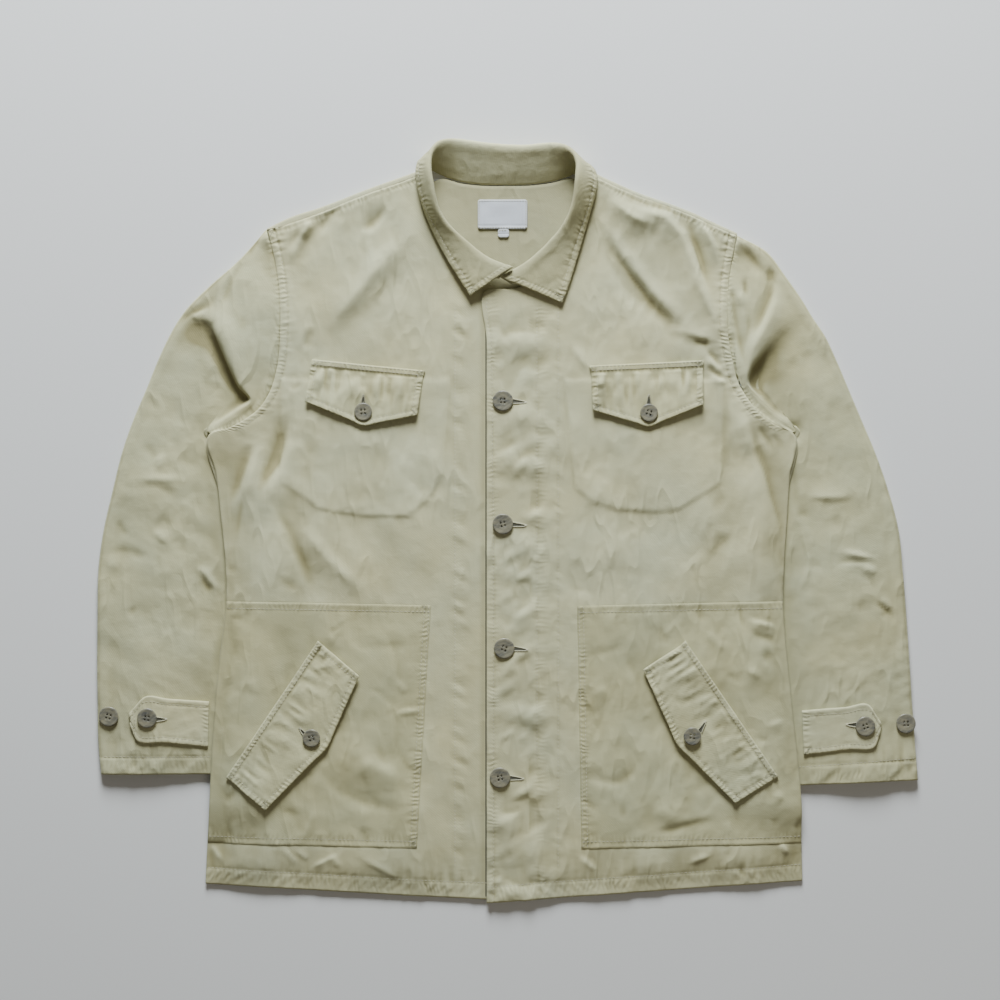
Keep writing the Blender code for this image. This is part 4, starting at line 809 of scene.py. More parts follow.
def front_plan(side):
    """Plan points of a front, rows from hem to shoulder seam, columns from its side to its edge."""
    ys = [-344.0, -301.0, -258.0, -215.0, -172.0, -129.0, -86.5, -45.0, 0.0, 45.0]
    guide = [SIDE[side][0]] + [(side_x(side, y), y) for y in ys]
    guide = np.array(guide + ARMHOLE[side], float)
    rows = len(guide)
    edge, middle = np.array(FRONT_EDGE[side], float), np.array(MIDDLE[side], float)
    shares = [0, 0.085, 0.151, 0.217, 0.283, 0.349, 0.415, 0.481, 0.55, 0.62, 0.69, 0.765, 0.835, 0.915, 1.0]
    right = np.vstack([edge[0] + np.outer(shares, edge[5] - edge[0]),
                       polyline(edge[5:], [0.16, 0.32, 0.46, 0.6, 0.74, 0.87, 1.0])])
    mids = np.zeros((rows, 2))
    for r in range(rows):
        if r <= 7:
            target = guide[r, 1] + (right[r, 1] - guide[r, 1]) * 0.7
            mids[r] = np.interp(target, middle[:, 1], middle[:, 0]), target
        else:
            share = (r - 7) / (rows - 8)
            mids[r] = mids[7] + (middle[-1] - mids[7]) * (share ** 1.6, 0.82 * share + 0.18 * share ** 2)
    seam = np.array(SHOULDER[side], float)[:, 2:]
    last = polyline(spline(seam, np.linspace(0, 1, SHOULDER_MARKS)), np.linspace(0, 1, 16))
    grid = np.zeros((rows, 16, 2))
    for r in range(rows):
        grid[r, :10] = guide[r] + np.outer(np.linspace(0, 1, 10), mids[r] - guide[r])
        grid[r, 10:] = mids[r] + np.outer(np.linspace(0, 1, 7)[1:], right[r] - mids[r])
    bend = last - grid[-1]
    for r in range(rows - 4, rows):
        grid[r] += bend * ((r - (rows - 5)) / 4.0) ** 2
    return grid


def front_relief(side, plan, strength):
    """Everything that stands proud of or sinks into a front: creases, sewn edges, pocket bag, crumple."""
    x, y = plan[..., 0], plan[..., 1]
    rows = FRONT_CREASES[side]
    relief = creases(x, y, rows, 1.5 * strength)
    depth = side * (side_x(side, y) - x)
    filled = ramp(y, -400, -350) * (1.0 - ramp(y, 190, 260))
    relief += LOFT * ramp(depth, 0, 45) * ramp(abs(x), 45, 110) * filled
    relief += 1.25 * plate(x, y, BAG[side], 2.6)
    calm = ramp(abs(x), 50, 95)
    relief += 0.9 * strength * crumple(x, y, 1.2 * side, 11 + side) * (0.6 + 0.4 * calm)
    slow = swell(x, y, 52.0, 15 + side) + 0.6 * swell(x, y, 31.0, 17 + side)
    relief += 1.5 * strength * slow * (0.25 + 0.75 * calm)
    # the shoulder, armhole and side seams
    away, run = from_side(plan, "left")
    up_armhole = ramp(y, 98, 114)
    tight = (0.45 + 0.55 * ramp(y, 110, 165)) * ramp(away, 0.2, 3.4)
    relief += up_armhole * tight * sewn(away, run, SEAM_BAND, 0.6, 0.8, 7.4, 31 + side, 0.6)
    relief += (1.0 - up_armhole) * 0.3 * bell(away, 5.0) * swell(run, run * 0, 9.0, 41)
    away, run = from_side(plan, "high")
    relief += 0.8 * sewn(away, run, 4.0, 0.25, 0.55, 8.0, 35 + side, 0.6) * ramp(y, 240, 270)
    # the hem
    away, run = from_side(plan, "low")
    relief += sewn(away, run, HEM_BAND, 0.2, 0.6, 9.5, 51 + side, 0.4)
    roping = np.sin(2 * np.pi * (run - 0.9 * away) / 10.5 + 2.6 * swell(run, run * 0, 24.0, 57 + side))
    relief += 0.3 * roping * bell(away - 9.0, 6.5)
    return relief


def placket_relief(side, plan):
    """Layers and stitch lines along the front edge."""
    x, y = plan[..., 0], plan[..., 1]
    below_collar = 1.0 - ramp(y, 225, 250)
    away, run = from_side(plan, "right")
    relief = 0.0
    if side > 0:
        relief = sewn(away, run, SEAM_BAND, 0.45, 0.32, 9.3, 61, 0.55) * below_collar
        for (line_x, top), seed in zip(PLACKET_LINES, (62, 63)):
            off = x - line_x
            wave = swell(y + 0.5 * off, off * 0.3, 4.6, seed)
            present = below_collar * ramp(y, top - 4, top + 4)
            relief = relief + present * (-0.35 * bell(off, 1.2) + 0.38 * wave * bell(off, 6.0))
        relief = relief + 0.35 * (1.0 - ramp(x, 30.5, 33.5)) * below_collar
        across = bell(x - 12.0, 30.0) * below_collar
        relief = relief + across * (2.4 * swell(x * 0.45 + 0.4 * y, y, 19.0, 66)
                                    + 1.5 * swell(x * 0.6, y - 0.5 * x, 10.0, 67))
    else:
        off = x - UNDER_LINE
        wave = swell(y + 0.5 * off, off * 0.3, 7.5, 64)
        relief = below_collar * (0.3 * ramp(off, -1.5, 1.5) + 1.0 * wave * bell(off - 6.0, 8.0))
    return relief


def front_grid(side, cell, strength):
    """Fine grid of the top of a front, and the fine row and column numbers of its coarse marks."""
    plan = front_plan(side)
    row_counts = steps(plan, 0, cell)
    col_counts = steps(plan, 1, cell)
    plan = finer(finer(plan, 0, row_counts), 1, col_counts)
    x, y = plan[..., 0], plan[..., 1]
    relief = front_relief(side, plan, strength)
    near_neck = 1.0 - ramp(np.hypot(x, y - 310), 78, 112)
    relief = np.where(relief > 0, relief * (1.0 - near_neck), relief)
    relief = relief + placket_relief(side, plan) * (1.0 - near_neck)
    for _, bx, by, diameter, _ in BUTTONS:
        relief = relief * (1.0 - 0.85 * bell(np.hypot(x - bx, y - by), diameter * 0.8))
    under = front_under(side, x, y)
    floor_under = sleeve_lift(x, y) + WALL + 0.12
    if side > 0:
        hidden_top = front_under(-1, np.minimum(x, 20.0), y) + WALL + 0.12
        floor_under = np.where(x < 24, np.maximum(floor_under, hidden_top), floor_under)
    else:
        relief = relief * (1.0 - ramp(x, -34, -24))
    marks = np.concatenate([[0], np.cumsum(row_counts)]), np.concatenate([[0], np.cumsum(col_counts)])
    row, col = np.arange(len(plan))[:, None], np.arange(plan.shape[1])[None, :]
    low_row, high_row = (marks[0][r] for r in PATCH_ROWS)
    inside = np.minimum(np.minimum(row - low_row, high_row - row), marks[1][PATCH_COLUMN] - col)
    relief = relief - 1.35 * ramp(inside * cell, 0, 5)
    low = np.maximum(under + relief, floor_under)
    return np.concatenate([plan, (low + WALL)[..., None]], axis=-1), marks


def shell_up(name, high, thick, material, worn_sides, painted_shade, seams, more=()):
    """A shell of even thickness measured straight down from its top grid."""
    wear_and_painted_light = [bell(from_side(high, side)[0], 1.4) for side in worn_sides]
    marks = {"wear_and_painted_light": np.maximum.reduce([0 * high[..., 0], *wear_and_painted_light]), "painted_shading": hollowness(high) + painted_shade}
    marks = gathered(high, seams, marks)
    for share, run in more:
        add_gathers(marks, share, run)
    low = high.copy()
    low[..., 2] -= thick
    return shell(name, high, low, material, marks=marks)


def draped(base, rounds):
    """The ground under a flap, evened out but nowhere lowered."""
    drape = base
    for _ in range(rounds):
        drape = np.maximum(soften(drape, 3), base)
    return drape


def flap_grid(marks, ground, cell, relief):
    """Top grid of a flap that drapes over what is under it and lifts towards its free edge."""
    lift = ((0.0, 0.5), (0.12, 0.5), (0.45, 1.5), (0.75, 2.3), (1.0, 2.9))    # share of its depth, height
    marks = np.array(marks, float)
    rows = np.stack([(1 - t) * marks[:-1] + t * marks[1:] for t in (0.0, 0.5)], axis=1)
    marks = np.vstack([rows.reshape(-1, marks.shape[1]), marks[-1]])
    shares = [share for share, _ in lift]
    plan = np.zeros((len(marks), len(shares), 2))
    plan[:, 0] = marks[:, 0:2]
    for c, share in enumerate(shares[1:], 1):
        t = (share - shares[1]) / (1.0 - shares[1])
        plan[:, c] = marks[:, 2:4] + (marks[:, 4:6] - marks[:, 2:4]) * t
    plan = refined(plan, cell)
    away, _ = from_side(plan, "left")
    base = ground.heights(plan)
    low = soften(draped(base, 6), 2) + np.interp(away / away[:, -1:], shares, [up for _, up in lift])
    low = np.maximum(np.maximum(low, base + REST) + relief(plan), base + REST)
    return np.concatenate([plan, (low + DOUBLE)[..., None]], axis=-1)


def flap_relief(seed, band_at, pitch, fullness, strength, rows=()):
    """Sewn outline, double-stitched band and gathers of a flap."""
    def relief(plan):
        x, y = plan[..., 0], plan[..., 1]
        away, run = from_side(plan, "left")
        total = sewn(away, run, band_at, 0.45, 0.25, pitch, seed, 0.0) - 1.1 * bell(away - band_at, 0.9)
        gathers = swell(run, away * 0.2, 4.2, seed + 7)
        gathers += 0.6 * swell(run + 0.3 * away, away * 0.5, 8.0, seed + 9)
        beyond = away - band_at
        total = total + fullness * gathers * ramp(beyond, 0, 2) * (1.0 - ramp(beyond, 8, 44))
        for side in ("right", "low", "high"):
            off, go = from_side(plan, side)
            total = total + 0.8 * sewn(off, go, EDGE_BAND, 0.12, 0.55, pitch, seed + len(side), 0.5)
        return total + creases(x, y, rows, strength) + 0.6 * strength * crumple(x, y, 0.4, seed + 3)
    return relief


def back_grids(cell):
    """Outer and inner grid of the back: flat on the surface, its shoulders folded over to the front."""
    rows_low = [-382.0, -344.0, -301.0, -258.0, -200.0, -140.0, -86.5, -30.0, 30.0]
    left, right = (np.array([(side_x(side, y), y) for y in rows_low] + ARMHOLE[side][:-1], float)
                   for side in (-1, 1))
    left[0, 1], right[0, 1] = -385.0, -382.0
    marks = np.linspace(0, 1, SHOULDER_MARKS)
    neck = spline(NECK_BACK, np.linspace(0, 1, 9))[1:-1]
    folded, brought = ({side: spline(np.array(SHOULDER[side])[:, at:at + 2], marks) for side in (-1, 1)}
                       for at in (0, 2))
    top_left, top_right = ([curl(a, b) for a, b in zip(folded[side], brought[side])] for side in (-1, 1))
    top_right = top_right[::-1]
    crown = np.vstack([[p[0][0][:2] for p in top_left], neck, [p[0][0][:2] for p in top_right]])
    cols = len(crown)
    shares = np.array([0, 0.03, 0.06, 0.095, 0.14, 0.2, 0.28, 0.33, 0.385, 0.44, 0.5, 0.56, 0.615, 0.67, 0.72,
                       0.8, 0.86, 0.905, 0.94, 0.97, 1.0])
    flat_rows, curl_rows = len(left), len(top_left[0][0])
    plan = np.zeros((flat_rows + 1, cols, 2))
    first, last = crown[0], crown[-1]
    own = np.clip((crown[:, 0] - first[0]) / (last[0] - first[0]), 0, 1)
    sag = crown - (first + np.outer(own, last - first))
    for r in range(flat_rows):
        rise = np.clip((r - 9) / (flat_rows - 9.0), 0, 1)
        plan[r] = left[r] + np.outer(shares + (own - shares) * rise, right[r] - left[r])
        plan[r] += sag * rise ** 2.5 * np.array([0.0, 1.0])
    plan[-1] = crown
    col_counts = steps(plan, 1, cell)
    col_marks = np.concatenate([[0], np.cumsum(col_counts)])
    plan = finer(plan, 1, col_counts)
    curls = np.full((2, curl_rows, plan.shape[1], 3), np.nan)
    for first_col, profiles in ((0, top_left), (cols - SHOULDER_MARKS, top_right)):
        a, b = col_marks[first_col], col_marks[first_col + SHOULDER_MARKS - 1]
        for layer in (0, 1):
            shape = np.array([p[layer] for p in profiles]).transpose(1, 0, 2)
            shift = shape - np.concatenate([shape[:1, :, :2], np.zeros((1, len(profiles), 1))], axis=-1)
            fine = finer(shift, 1, col_counts[first_col:first_col + SHOULDER_MARKS - 1])
            fine[..., :2] += plan[-1:, a:b + 1]
            curls[layer, :, a:b + 1] = fine
    height = sleeve_lift(plan[..., 0], plan[..., 1])[..., None]
    grids = []
    for layer in (0, 1):
        flat = np.concatenate([plan, height + layer * WALL], axis=-1)
        missing = np.isnan(curls[layer, 0, :, 0])
        curls[layer, 0][missing] = flat[-1][missing]
        grids.append(np.concatenate([flat[:-1], curls[layer]]))
    row_counts = steps(grids[0], 0, cell)
    row_counts[flat_rows:] = [3] * (len(row_counts) - flat_rows)
    fine = []
    for grid in grids:
        whole = finer(grid, 0, row_counts)
        # the neck's columns end at the crown, so they are refined on their own
        ends = np.isnan(grid[-1, :, 0])
        short = finer(grid[:flat_rows + 1, ends], 0, row_counts[:flat_rows])
        whole[:len(short), ends] = short
        fine.append(whole)
    crown_row = int(np.sum(row_counts[:flat_rows]))
    return fine[0], fine[1], crown_row


def curl(sil, seam):
    """Outer and inner points of the back's shoulder: over the surface, round the top edge, to the seam."""
    away = seam - sil
    reach = np.hypot(*away)
    away /= reach
    high = SHOULDER_HIGH + WALL
    r = high / 2
    turn = max(reach - 0.5, r * 0.5) * 0.75
    arc = [(r + 14.0, 0.0), (r + 4.0, 0.0), (r, 0.0), (r * 0.42, r * 0.18), (0.0, r * 0.9),
           (r * 0.25, r * 1.66), (turn, high - 0.12), (reach - SEAM, high)]
    inner = [(r + 14.0, WALL), (r + 4.0, WALL), (r, WALL), (r * 0.42 + 0.75, r * 0.18 + 0.95), (WALL, r * 0.92),
             (r * 0.25 + 0.75, r * 1.66 - 0.95), (turn + 0.1, high - WALL - 0.12), (reach - SEAM, high - WALL)]
    return [[np.array([*(sil + away * v), z]) for v, z in line] for line in (arc, inner)]


def sleeve_ring(plan, heights, low_plan, low_z, swell_out=0.8):
    """One closed ring: eleven points over the top, the inner fold, eleven under it, the outer fold."""
    top = [np.array([x, y, z, 1.0]) for (x, y), z in zip(plan, heights)]
    low = [np.array([x, y, z, 0.0]) for (x, y), z in zip(low_plan, low_z)]
    ring = list(top)
    for end, other, sign in ((top[-1], low[-1], 1), (low[0], top[0], -1)):
        centre, half = (end + other) / 2, (end - other) / 2
        inward = (top[-2] - top[-1]) if sign > 0 else (top[1] - top[0])
        inward[2:] = 0
        inward /= np.linalg.norm(inward)
        radius = np.linalg.norm(half[:3])
        for k in range(1, FOLD_STEPS + 1):
            angle = np.pi * k / (FOLD_STEPS + 1)
            ring.append(centre + half * np.cos(angle) - inward * radius * np.sin(angle) * swell_out)
        if sign > 0:
            ring += low[::-1]
    return np.array(ring)


def sleeve_loop(side):
    """The part's own rings of a sleeve, each point with a fourth number: 1 above, 0 below."""
    marks = np.array(ARMHOLE[side][::-1], float)
    tangent = np.gradient(marks, axis=0)
    away = np.stack([tangent[:, 1], -tangent[:, 0]], axis=1)
    away /= np.linalg.norm(away, axis=1, keepdims=True)
    away *= np.sign(np.einsum("ij,ij->i", away, np.array([side * 380.0, 220.0]) - marks))[:, None]
    away[-2:] = np.array([side * 0.5, 0.86])
    widen = np.ones(len(marks))
    widen[-3:] = (1.6, 2.2, 2.6)
    start = marks + away * 0.2 * widen[:, None]
    top0 = [float(front_under(side, np.array(x), np.array(y))) + WALL for x, y in marks]
    low0 = [float(sleeve_lift(x, y)) for x, y in marks]
    top0[0] = SHOULDER_HIGH + WALL
    sections = [sleeve_ring(start, top0, start, low0, 0.3)]
    outer_share = np.array([0, 0.3, 0.4, 0.5, 0.65, 0.85, 1, 1, 0.9, 0.7, 0.6])
    for k, key in enumerate(["cap_a", "cap_b", "fold_top", "fold_foot", "below_a", "below_b"]):
        plan = np.array(SLEEVE_RINGS[side][key], float)
        heights = np.array(SLEEVE_HEIGHTS[key])
        if side > 0 and key in ("cap_a", "cap_b", "fold_top"):
            flat = np.array(SLEEVE_HEIGHTS["fold_foot"])
            heights = flat + (heights - flat) * outer_share * (1.0 if key != "fold_top" else 0.9)
        fade = max(0.0, 1.0 - (k + 1) / 4.0)
        chord = plan[0] + np.outer(np.linspace(0, 1, len(plan)), plan[-1] - plan[0])
        low_plan = chord + (plan - chord) * (0.35 + 0.65 * fade)
        sections.append(sleeve_ring(plan, heights, low_plan, np.array(low0) * fade))
    share = np.linspace(0, 1, len(marks))
    for ox, oy, ix, iy, crown in LOWER[side]:
        plan = np.array([ox, oy]) + np.outer(share, np.array([ix - ox, iy - oy], float))
        heights = 5.2 + crown * np.sin(np.pi * np.clip(share / 0.75, 0, 1)) + 0.2 * share
        sections.append(sleeve_ring(plan, heights, plan, np.zeros(len(plan))))
    loop = np.array(sections)
    loop[:, :, 2] = np.maximum(loop[:, :, 2], 0.0)
    return loop


def sleeve_grid(side, cell, strength):
    """Fine outer loops of a sleeve with its relief, and its upper layer as a grid."""
    loop = sleeve_loop(side)
    around = steps(loop, 1, cell, closed=True)
    along = steps(loop, 0, cell)
    loop = finer(finer(loop, 1, around, closed=True), 0, along)
    above = np.clip(loop[..., 3], 0, 1)
    loop = loop[..., :3].copy()
    x, y = loop[..., 0], loop[..., 1]
    beyond = side * (x - side_x(side, np.minimum(y, ARMPIT)))
    clear = np.maximum(ramp(beyond, -1.0, 12.0), ramp(y, 96, 112))
    relief = creases(x, y, SLEEVE_CREASES[side], 1.5 * strength)
    relief += 0.9 * strength * crumple(x, y, 0.5 * side, 21 + side)
    relief += 1.3 * strength * swell(x, y, 47.0, 25 + side)
    relief += 2.6 * bell(beyond - 72.0, 42.0) * (1.0 - ramp(y, 40, 120))
    cuff = -271.0 if side < 0 else -280.0
    away = y - cuff - (0.0 if side < 0 else (x - 437) * 0.046)
    band = 18.5 if side < 0 else 24.0
    roping = swell(x - 0.9 * away, away * 0.3, 8.0, 75 + side) * bell(away - 0.5 * band, 8.0)
    hem = sewn(np.maximum(away, 0.0), x, band, 0.3, 0.6, 9.4, 71 + side, 0.5) + roping
    relief += hem * (1.0 - ramp(away, 36, 44))
    armhole = np.array(ARMHOLE[side], float)
    off, run, _ = beside(x, y, armhole)
    wave = np.sin(2 * np.pi * run / 8.9 + 2.5 * swell(run, run * 0, 21.0, 81))
    relief += 0.6 * bell(np.abs(off) - 3.5, 3.5) * wave * ramp(y, 104, 126)
    relief += 0.4 * bell(np.abs(off) - 3.0, 3.0) * ramp(y, 104, 126)
    loop[..., 2] += np.where(above > 0.5, relief * clear * ramp(above, 0.5, 0.95), 0.0)
    pit = bell(np.hypot(x - armhole[0, 0], y - armhole[0, 1]) - 5.0, 8.0)
    loop[..., 2] -= (0.6 if side < 0 else 2.6) * pit * ramp(above, 0.5, 0.95)
    beneath = 0.35 * np.maximum(crumple(x, y, 0.9, 24 + side), 0.0) * ramp(1.0 - above, 0.6, 1.0)
    loop[..., 2] = np.maximum(loop[..., 2] + beneath * (y < 90), 0.0)
    top = loop[:, :int(np.sum(around[:10])) + 1]
    return loop, top


def sleeve_inner(loop):
    facing = normals(loop, closed=True)
    probe = np.mean(loop[-1], axis=0)
    if np.einsum("ij,ij->i", facing[-1], loop[-1] - probe).mean() < 0:
        facing = -facing
    inner = loop - facing * WALL
    inner[:, :, 2] = np.maximum(inner[:, :, 2], WALL)
    return inner


def collar_profile(row):
    """Points of one section of the collar: up the stand, round the roll, down the fall."""
    out, ax, ay, az, bx, by, bz, cx, cy, cz, roll = row
    w = np.array([np.cos(np.radians(out)), np.sin(np.radians(out))])
    side = np.array([-w[1], w[0]])
    a, b, c = np.array([ax, ay]), np.array([bx, by]), np.array([cx, cy])
    qb, lb = (b - a) @ w, (b - a) @ side
    qc, lc = (c - a) @ w, (c - a) @ side
    up = np.arctan2(bz - az, qb)
    down = np.arctan2(cz - bz, qc - qb)
    while down > up:
        down -= 2 * np.pi
    while down < up - 2 * np.pi:
        down += 2 * np.pi
    middle = (up + down) / 2 + np.pi / 2
    centre = np.array([qb, bz]) - roll * np.array([np.cos(middle), np.sin(middle)])
    arc = [centre + roll * np.array([np.cos(up + (down - up) * t + np.pi / 2),
                                     np.sin(up + (down - up) * t + np.pi / 2)]) for t in np.linspace(0, 1, 5)]
    start, end = np.array([0.0, az]), np.array([qc, cz])
    stand_out = np.array([-np.sin(up), np.cos(up)])
    fall_out = np.array([-np.sin(down), np.cos(down)])
    flat = [start] + [start + (arc[0] - start) * t + stand_out * 0.5 for t in (0.35, 0.7)] + arc
    flat += [arc[-1] + (end - arc[-1]) * t + fall_out * 0.9 for t in (0.3, 0.65)] + [end]
    shares = [0.0, 0.35, 0.7, 1.0, 1.0, 1.0, 1.0, 1.0, 1.3, 1.65, 2.0]
    rows = []
    for (q, z), share in zip(flat, shares):
        lateral = lb * min(share, 1.0) + (lc - lb) * max(share - 1.0, 0.0)
        xy = a + w * q + side * lateral
        rows.append((xy[0], xy[1], z))
    return rows


def collar_grids(cell, strength):
    """Outer and inner grid of the collar."""
    table = np.array(COLLAR, float)
    length = np.concatenate([[0], np.cumsum(np.linalg.norm(np.diff(table[:, 4:6], axis=0), axis=1) + 6.0)])
    wanted = np.linspace(0, length[-1], COLLAR_SECTIONS)
    rows = [[np.interp(s, length, table[:, k]) for k in range(table.shape[1])] for s in wanted]
    skin = np.array([collar_profile(row) for row in rows])
    smooth = skin.copy()
    smooth[1:-1] = 0.25 * skin[:-2] + 0.5 * skin[1:-1] + 0.25 * skin[2:]
    fine = refined(smooth, cell)
    facing = normals(fine)
    if facing[len(fine) // 2, np.argmax(fine[len(fine) // 2, :, 2]), 2] < 0:
        facing = -facing
    step = np.linalg.norm(np.diff(fine, axis=1), axis=-1)
    away = np.concatenate([np.zeros((len(fine), 1)), np.cumsum(step, axis=1)], axis=1)
    total = away[:, -1:]
    run = lengths(fine[:, -1])[:, None] + 0 * away
    ends = np.minimum(run, run.max() - run)
    relief = sewn(total - away, run, EDGE_BAND, 0.5, 0.45, 9.2, 91, 0.55)
    relief = relief * (0.75 + 0.5 * ramp(run / run.max(), 0.5, 0.8))
    relief = relief + 0.8 * sewn(ends, away, EDGE_BAND, 0.4, 0.3, 9.0, 92)
    relief = relief + 0.7 * strength * crumple(run, away * 1.6, 0.2, 93)
    base = ramp(away, 0, 12) * (1.0 - 0.6 * bell(total - away, 4.0))
    outer = fine + facing * (relief * base)[..., None]
    return outer, outer - facing * DOUBLE


# ---------------------------------------------------------------- thread, buttonholes, buttons

def stitches(line, length=3.1, gap=1.0, lift=0.12):
    """Spindle-shaped stitches of thread laid along a line of points."""
    line = np.asarray(line, float)
    total = lengths(line)
    if total[-1] < length:
        return []
    chunks = []
    for s in np.arange(gap, total[-1] - length, length + gap):
        a, m, b = at_lengths(line, total, s + length * np.array([0.0, 0.5, 1.0]))
        along = (b - a) / max(np.linalg.norm(b - a), 1e-6)
        side = np.cross(along, (0, 0, 1.0))
        side /= max(np.linalg.norm(side), 1e-6)
        up = np.cross(side, along)
        points = [a - up * 0.1]
        for share in (0.2, 0.8):
            p = a + (b - a) * share + (m - (a + b) / 2) * 0.7 + up * lift
            points += [p + side * THREAD / 2, p + up * THREAD * 0.6, p - side * THREAD / 2]
        points.append(b - up * 0.1)
        faces = [(0, 1, 2), (0, 2, 3), (1, 4, 5, 2), (2, 5, 6, 3), (4, 7, 5), (5, 7, 6)]
        chunks.append((np.array(points), faces))
    return chunks


def dropped(line, ground, lift):
    """A plan line laid on the cloth under it."""
    line = np.asarray(line, float)
    length = lengths(line)
    plan = at_lengths(line, length, np.linspace(0, length[-1], max(3, int(length[-1] / 2.0))))
    return np.column_stack([plan, ground.heights(plan) + lift])


def buttonhole(x, y, length, turn, ground):
    """A slit that its button pulls open at the near end: its threads, and the outline of the shadow in it."""
    along, across = np.array([np.cos(turn), np.sin(turn)]), np.array([-np.sin(turn), np.cos(turn)])

    def at(u, v, lift):
        p = np.array([x, y]) + along * u + across * v
        return (*p, ground.height(*p) + lift)

    def gape(u):
        return 0.3 + 1.5 * (0.5 - u / length)

    threads = []
    for lip in (-1, 1):
        for u in np.arange(-length / 2, length / 2, 0.55):
            inner, outer = lip * gape(u), lip * (gape(u) + 1.5)
            bar = [at(u, inner, 0.1), at(u, (inner + outer) / 2, 0.35), at(u, outer, 0.0)]
            threads += stitches(bar, 1.4, 0.05, 0.25)
    for k in np.linspace(-0.6, 1.2, 5):
        u = length / 2 + 0.5 + k
        threads += stitches([at(u - 0.3, -1.6, 0.0), at(u, 0, 0.2), at(u + 0.3, 1.6, 0.0)], 3.0, 0.1, 0.2)
    marks = np.linspace(-length / 2, length / 2, 9)
    rim = [at(u, -gape(u), 0.12) for u in marks] + [at(u, gape(u), 0.12) for u in marks[::-1]]
    return threads, (np.array(rim), [(k, k + 1, 16 - k, 17 - k) for k in range(8)])


def circle(radius, count, centre=(0.0, 0.0)):
    angles = np.linspace(0, 2 * np.pi, count, endpoint=False)
    return np.stack([centre[0] + radius * np.cos(angles), centre[1] + radius * np.sin(angles)], axis=1)


def ring_faces(low, high, count):
    """Faces between two rings of points, by the number of each ring's first point."""
    return [(low + c, low + (c + 1) % count, high + (c + 1) % count, high + c) for c in range(count)]


def holed_disc(ring, holes):
    """Triangles of a round plate with holes, as indices into ring followed by the holes."""
    loops = [ring, *holes]
    points = np.vstack(loops)
    edges, start = [], 0
    for loop in loops:
        edges += [(start + k, start + (k + 1) % len(loop)) for k in range(len(loop))]
        start += len(loop)
    result = delaunay_2d_cdt([tuple(p) for p in points], edges, [], 0, 1e-6)
    triangles = []
    for face in result[2]:
        corners = tuple(result[3][i][0] for i in face)
        middle = points[list(corners)].mean(axis=0)
        if not any(np.hypot(*(middle - hole.mean(axis=0))) < HOLE_RADIUS * 0.8 for hole in holes):
            triangles.append(corners)
    return triangles


def button_mesh(diameter, thick):
    """Points and faces of a four-hole button: rounded foot, full rim, dished middle, open holes."""
    radius, n, sides = diameter / 2, 48, 14
    profile = [(0.78, 0.0), (0.90, 0.05), (0.975, 0.22), (1.0, 0.5), (0.985, 0.74), (0.94, 0.87), (0.88, 0.9),
               (0.80, 0.89), (0.72, 0.86), (0.62, 0.83), (0.52, 0.82)]

    def holes(grow):
        return [circle(HOLE_RADIUS * grow, sides, (i * HOLE_OFFSET, j * HOLE_OFFSET))
                for i in (-1, 1) for j in (-1, 1)]

    flat = thick * profile[-1][1]
    rings = [(circle(radius * r, n), thick * z) for r, z in profile]
    rings += [(hole, level) for level, grow in ((flat, 1.28), (flat - 0.18, 1.0), (0.0, 1.0))
              for hole in holes(grow)]
    points = np.vstack([np.column_stack([ring, np.full(len(ring), z)]) for ring, z in rings])
    faces = []
    for k in range(len(profile) - 1):
        faces += ring_faces(k * n, (k + 1) * n, n)
    start = len(profile) * n
    top_ids = list(range(start - n, start + 4 * sides))
    low_ids = list(range(n)) + list(range(start + 8 * sides, start + 12 * sides))
    plates = [(t, top_ids, 1) for t in holed_disc(circle(radius * profile[-1][0], n), holes(1.28))]
    plates += [(t, low_ids, -1) for t in holed_disc(circle(radius * profile[0][0], n), holes(1.0))]
    for tri, ids, up in plates:
        p = np.array([points[ids[i]][:2] for i in tri])
        area = (p[1, 0] - p[0, 0]) * (p[2, 1] - p[0, 1]) - (p[1, 1] - p[0, 1]) * (p[2, 0] - p[0, 0])
        faces.append(tuple(ids[i] for i in (tri if (area > 0) == (up > 0) else tri[::-1])))
    for hole in range(8):
        faces += ring_faces(start + hole * sides, start + (hole + 4) * sides, sides)
    return points, faces


def strand(a, b, high):
    """A short round thread from a to b, arching over by high."""
    sections, sides, wide = 9, 8, 0.15
    a, b = np.array(a, float), np.array(b, float)
    side = np.array([a[1] - b[1], b[0] - a[0], 0.0])
    side /= np.linalg.norm(side)
    points, faces = [], []
    for k in range(sections):
        t = k / (sections - 1)
        centre = a + (b - a) * t + np.array([0, 0, high * (1 - (2 * t - 1) ** 4)])
        for x, y in circle(wide, sides):
            points.append(centre + side * x + np.array([0, 0, 0.7 * y]))
    for k in range(sections - 1):
        faces += ring_faces(k * sides, (k + 1) * sides, sides)
    faces += [tuple(range(sides))[::-1], tuple(range((sections - 1) * sides, sections * sides))]
    return np.array(points), faces


# ---------------------------------------------------------------- materials

def tinted(colour, factor):
    """A colour times one factor or three, kept within 1."""
    return tuple(min(1.0, c * f) for c, f in zip(colour, np.broadcast_to(factor, 3)))


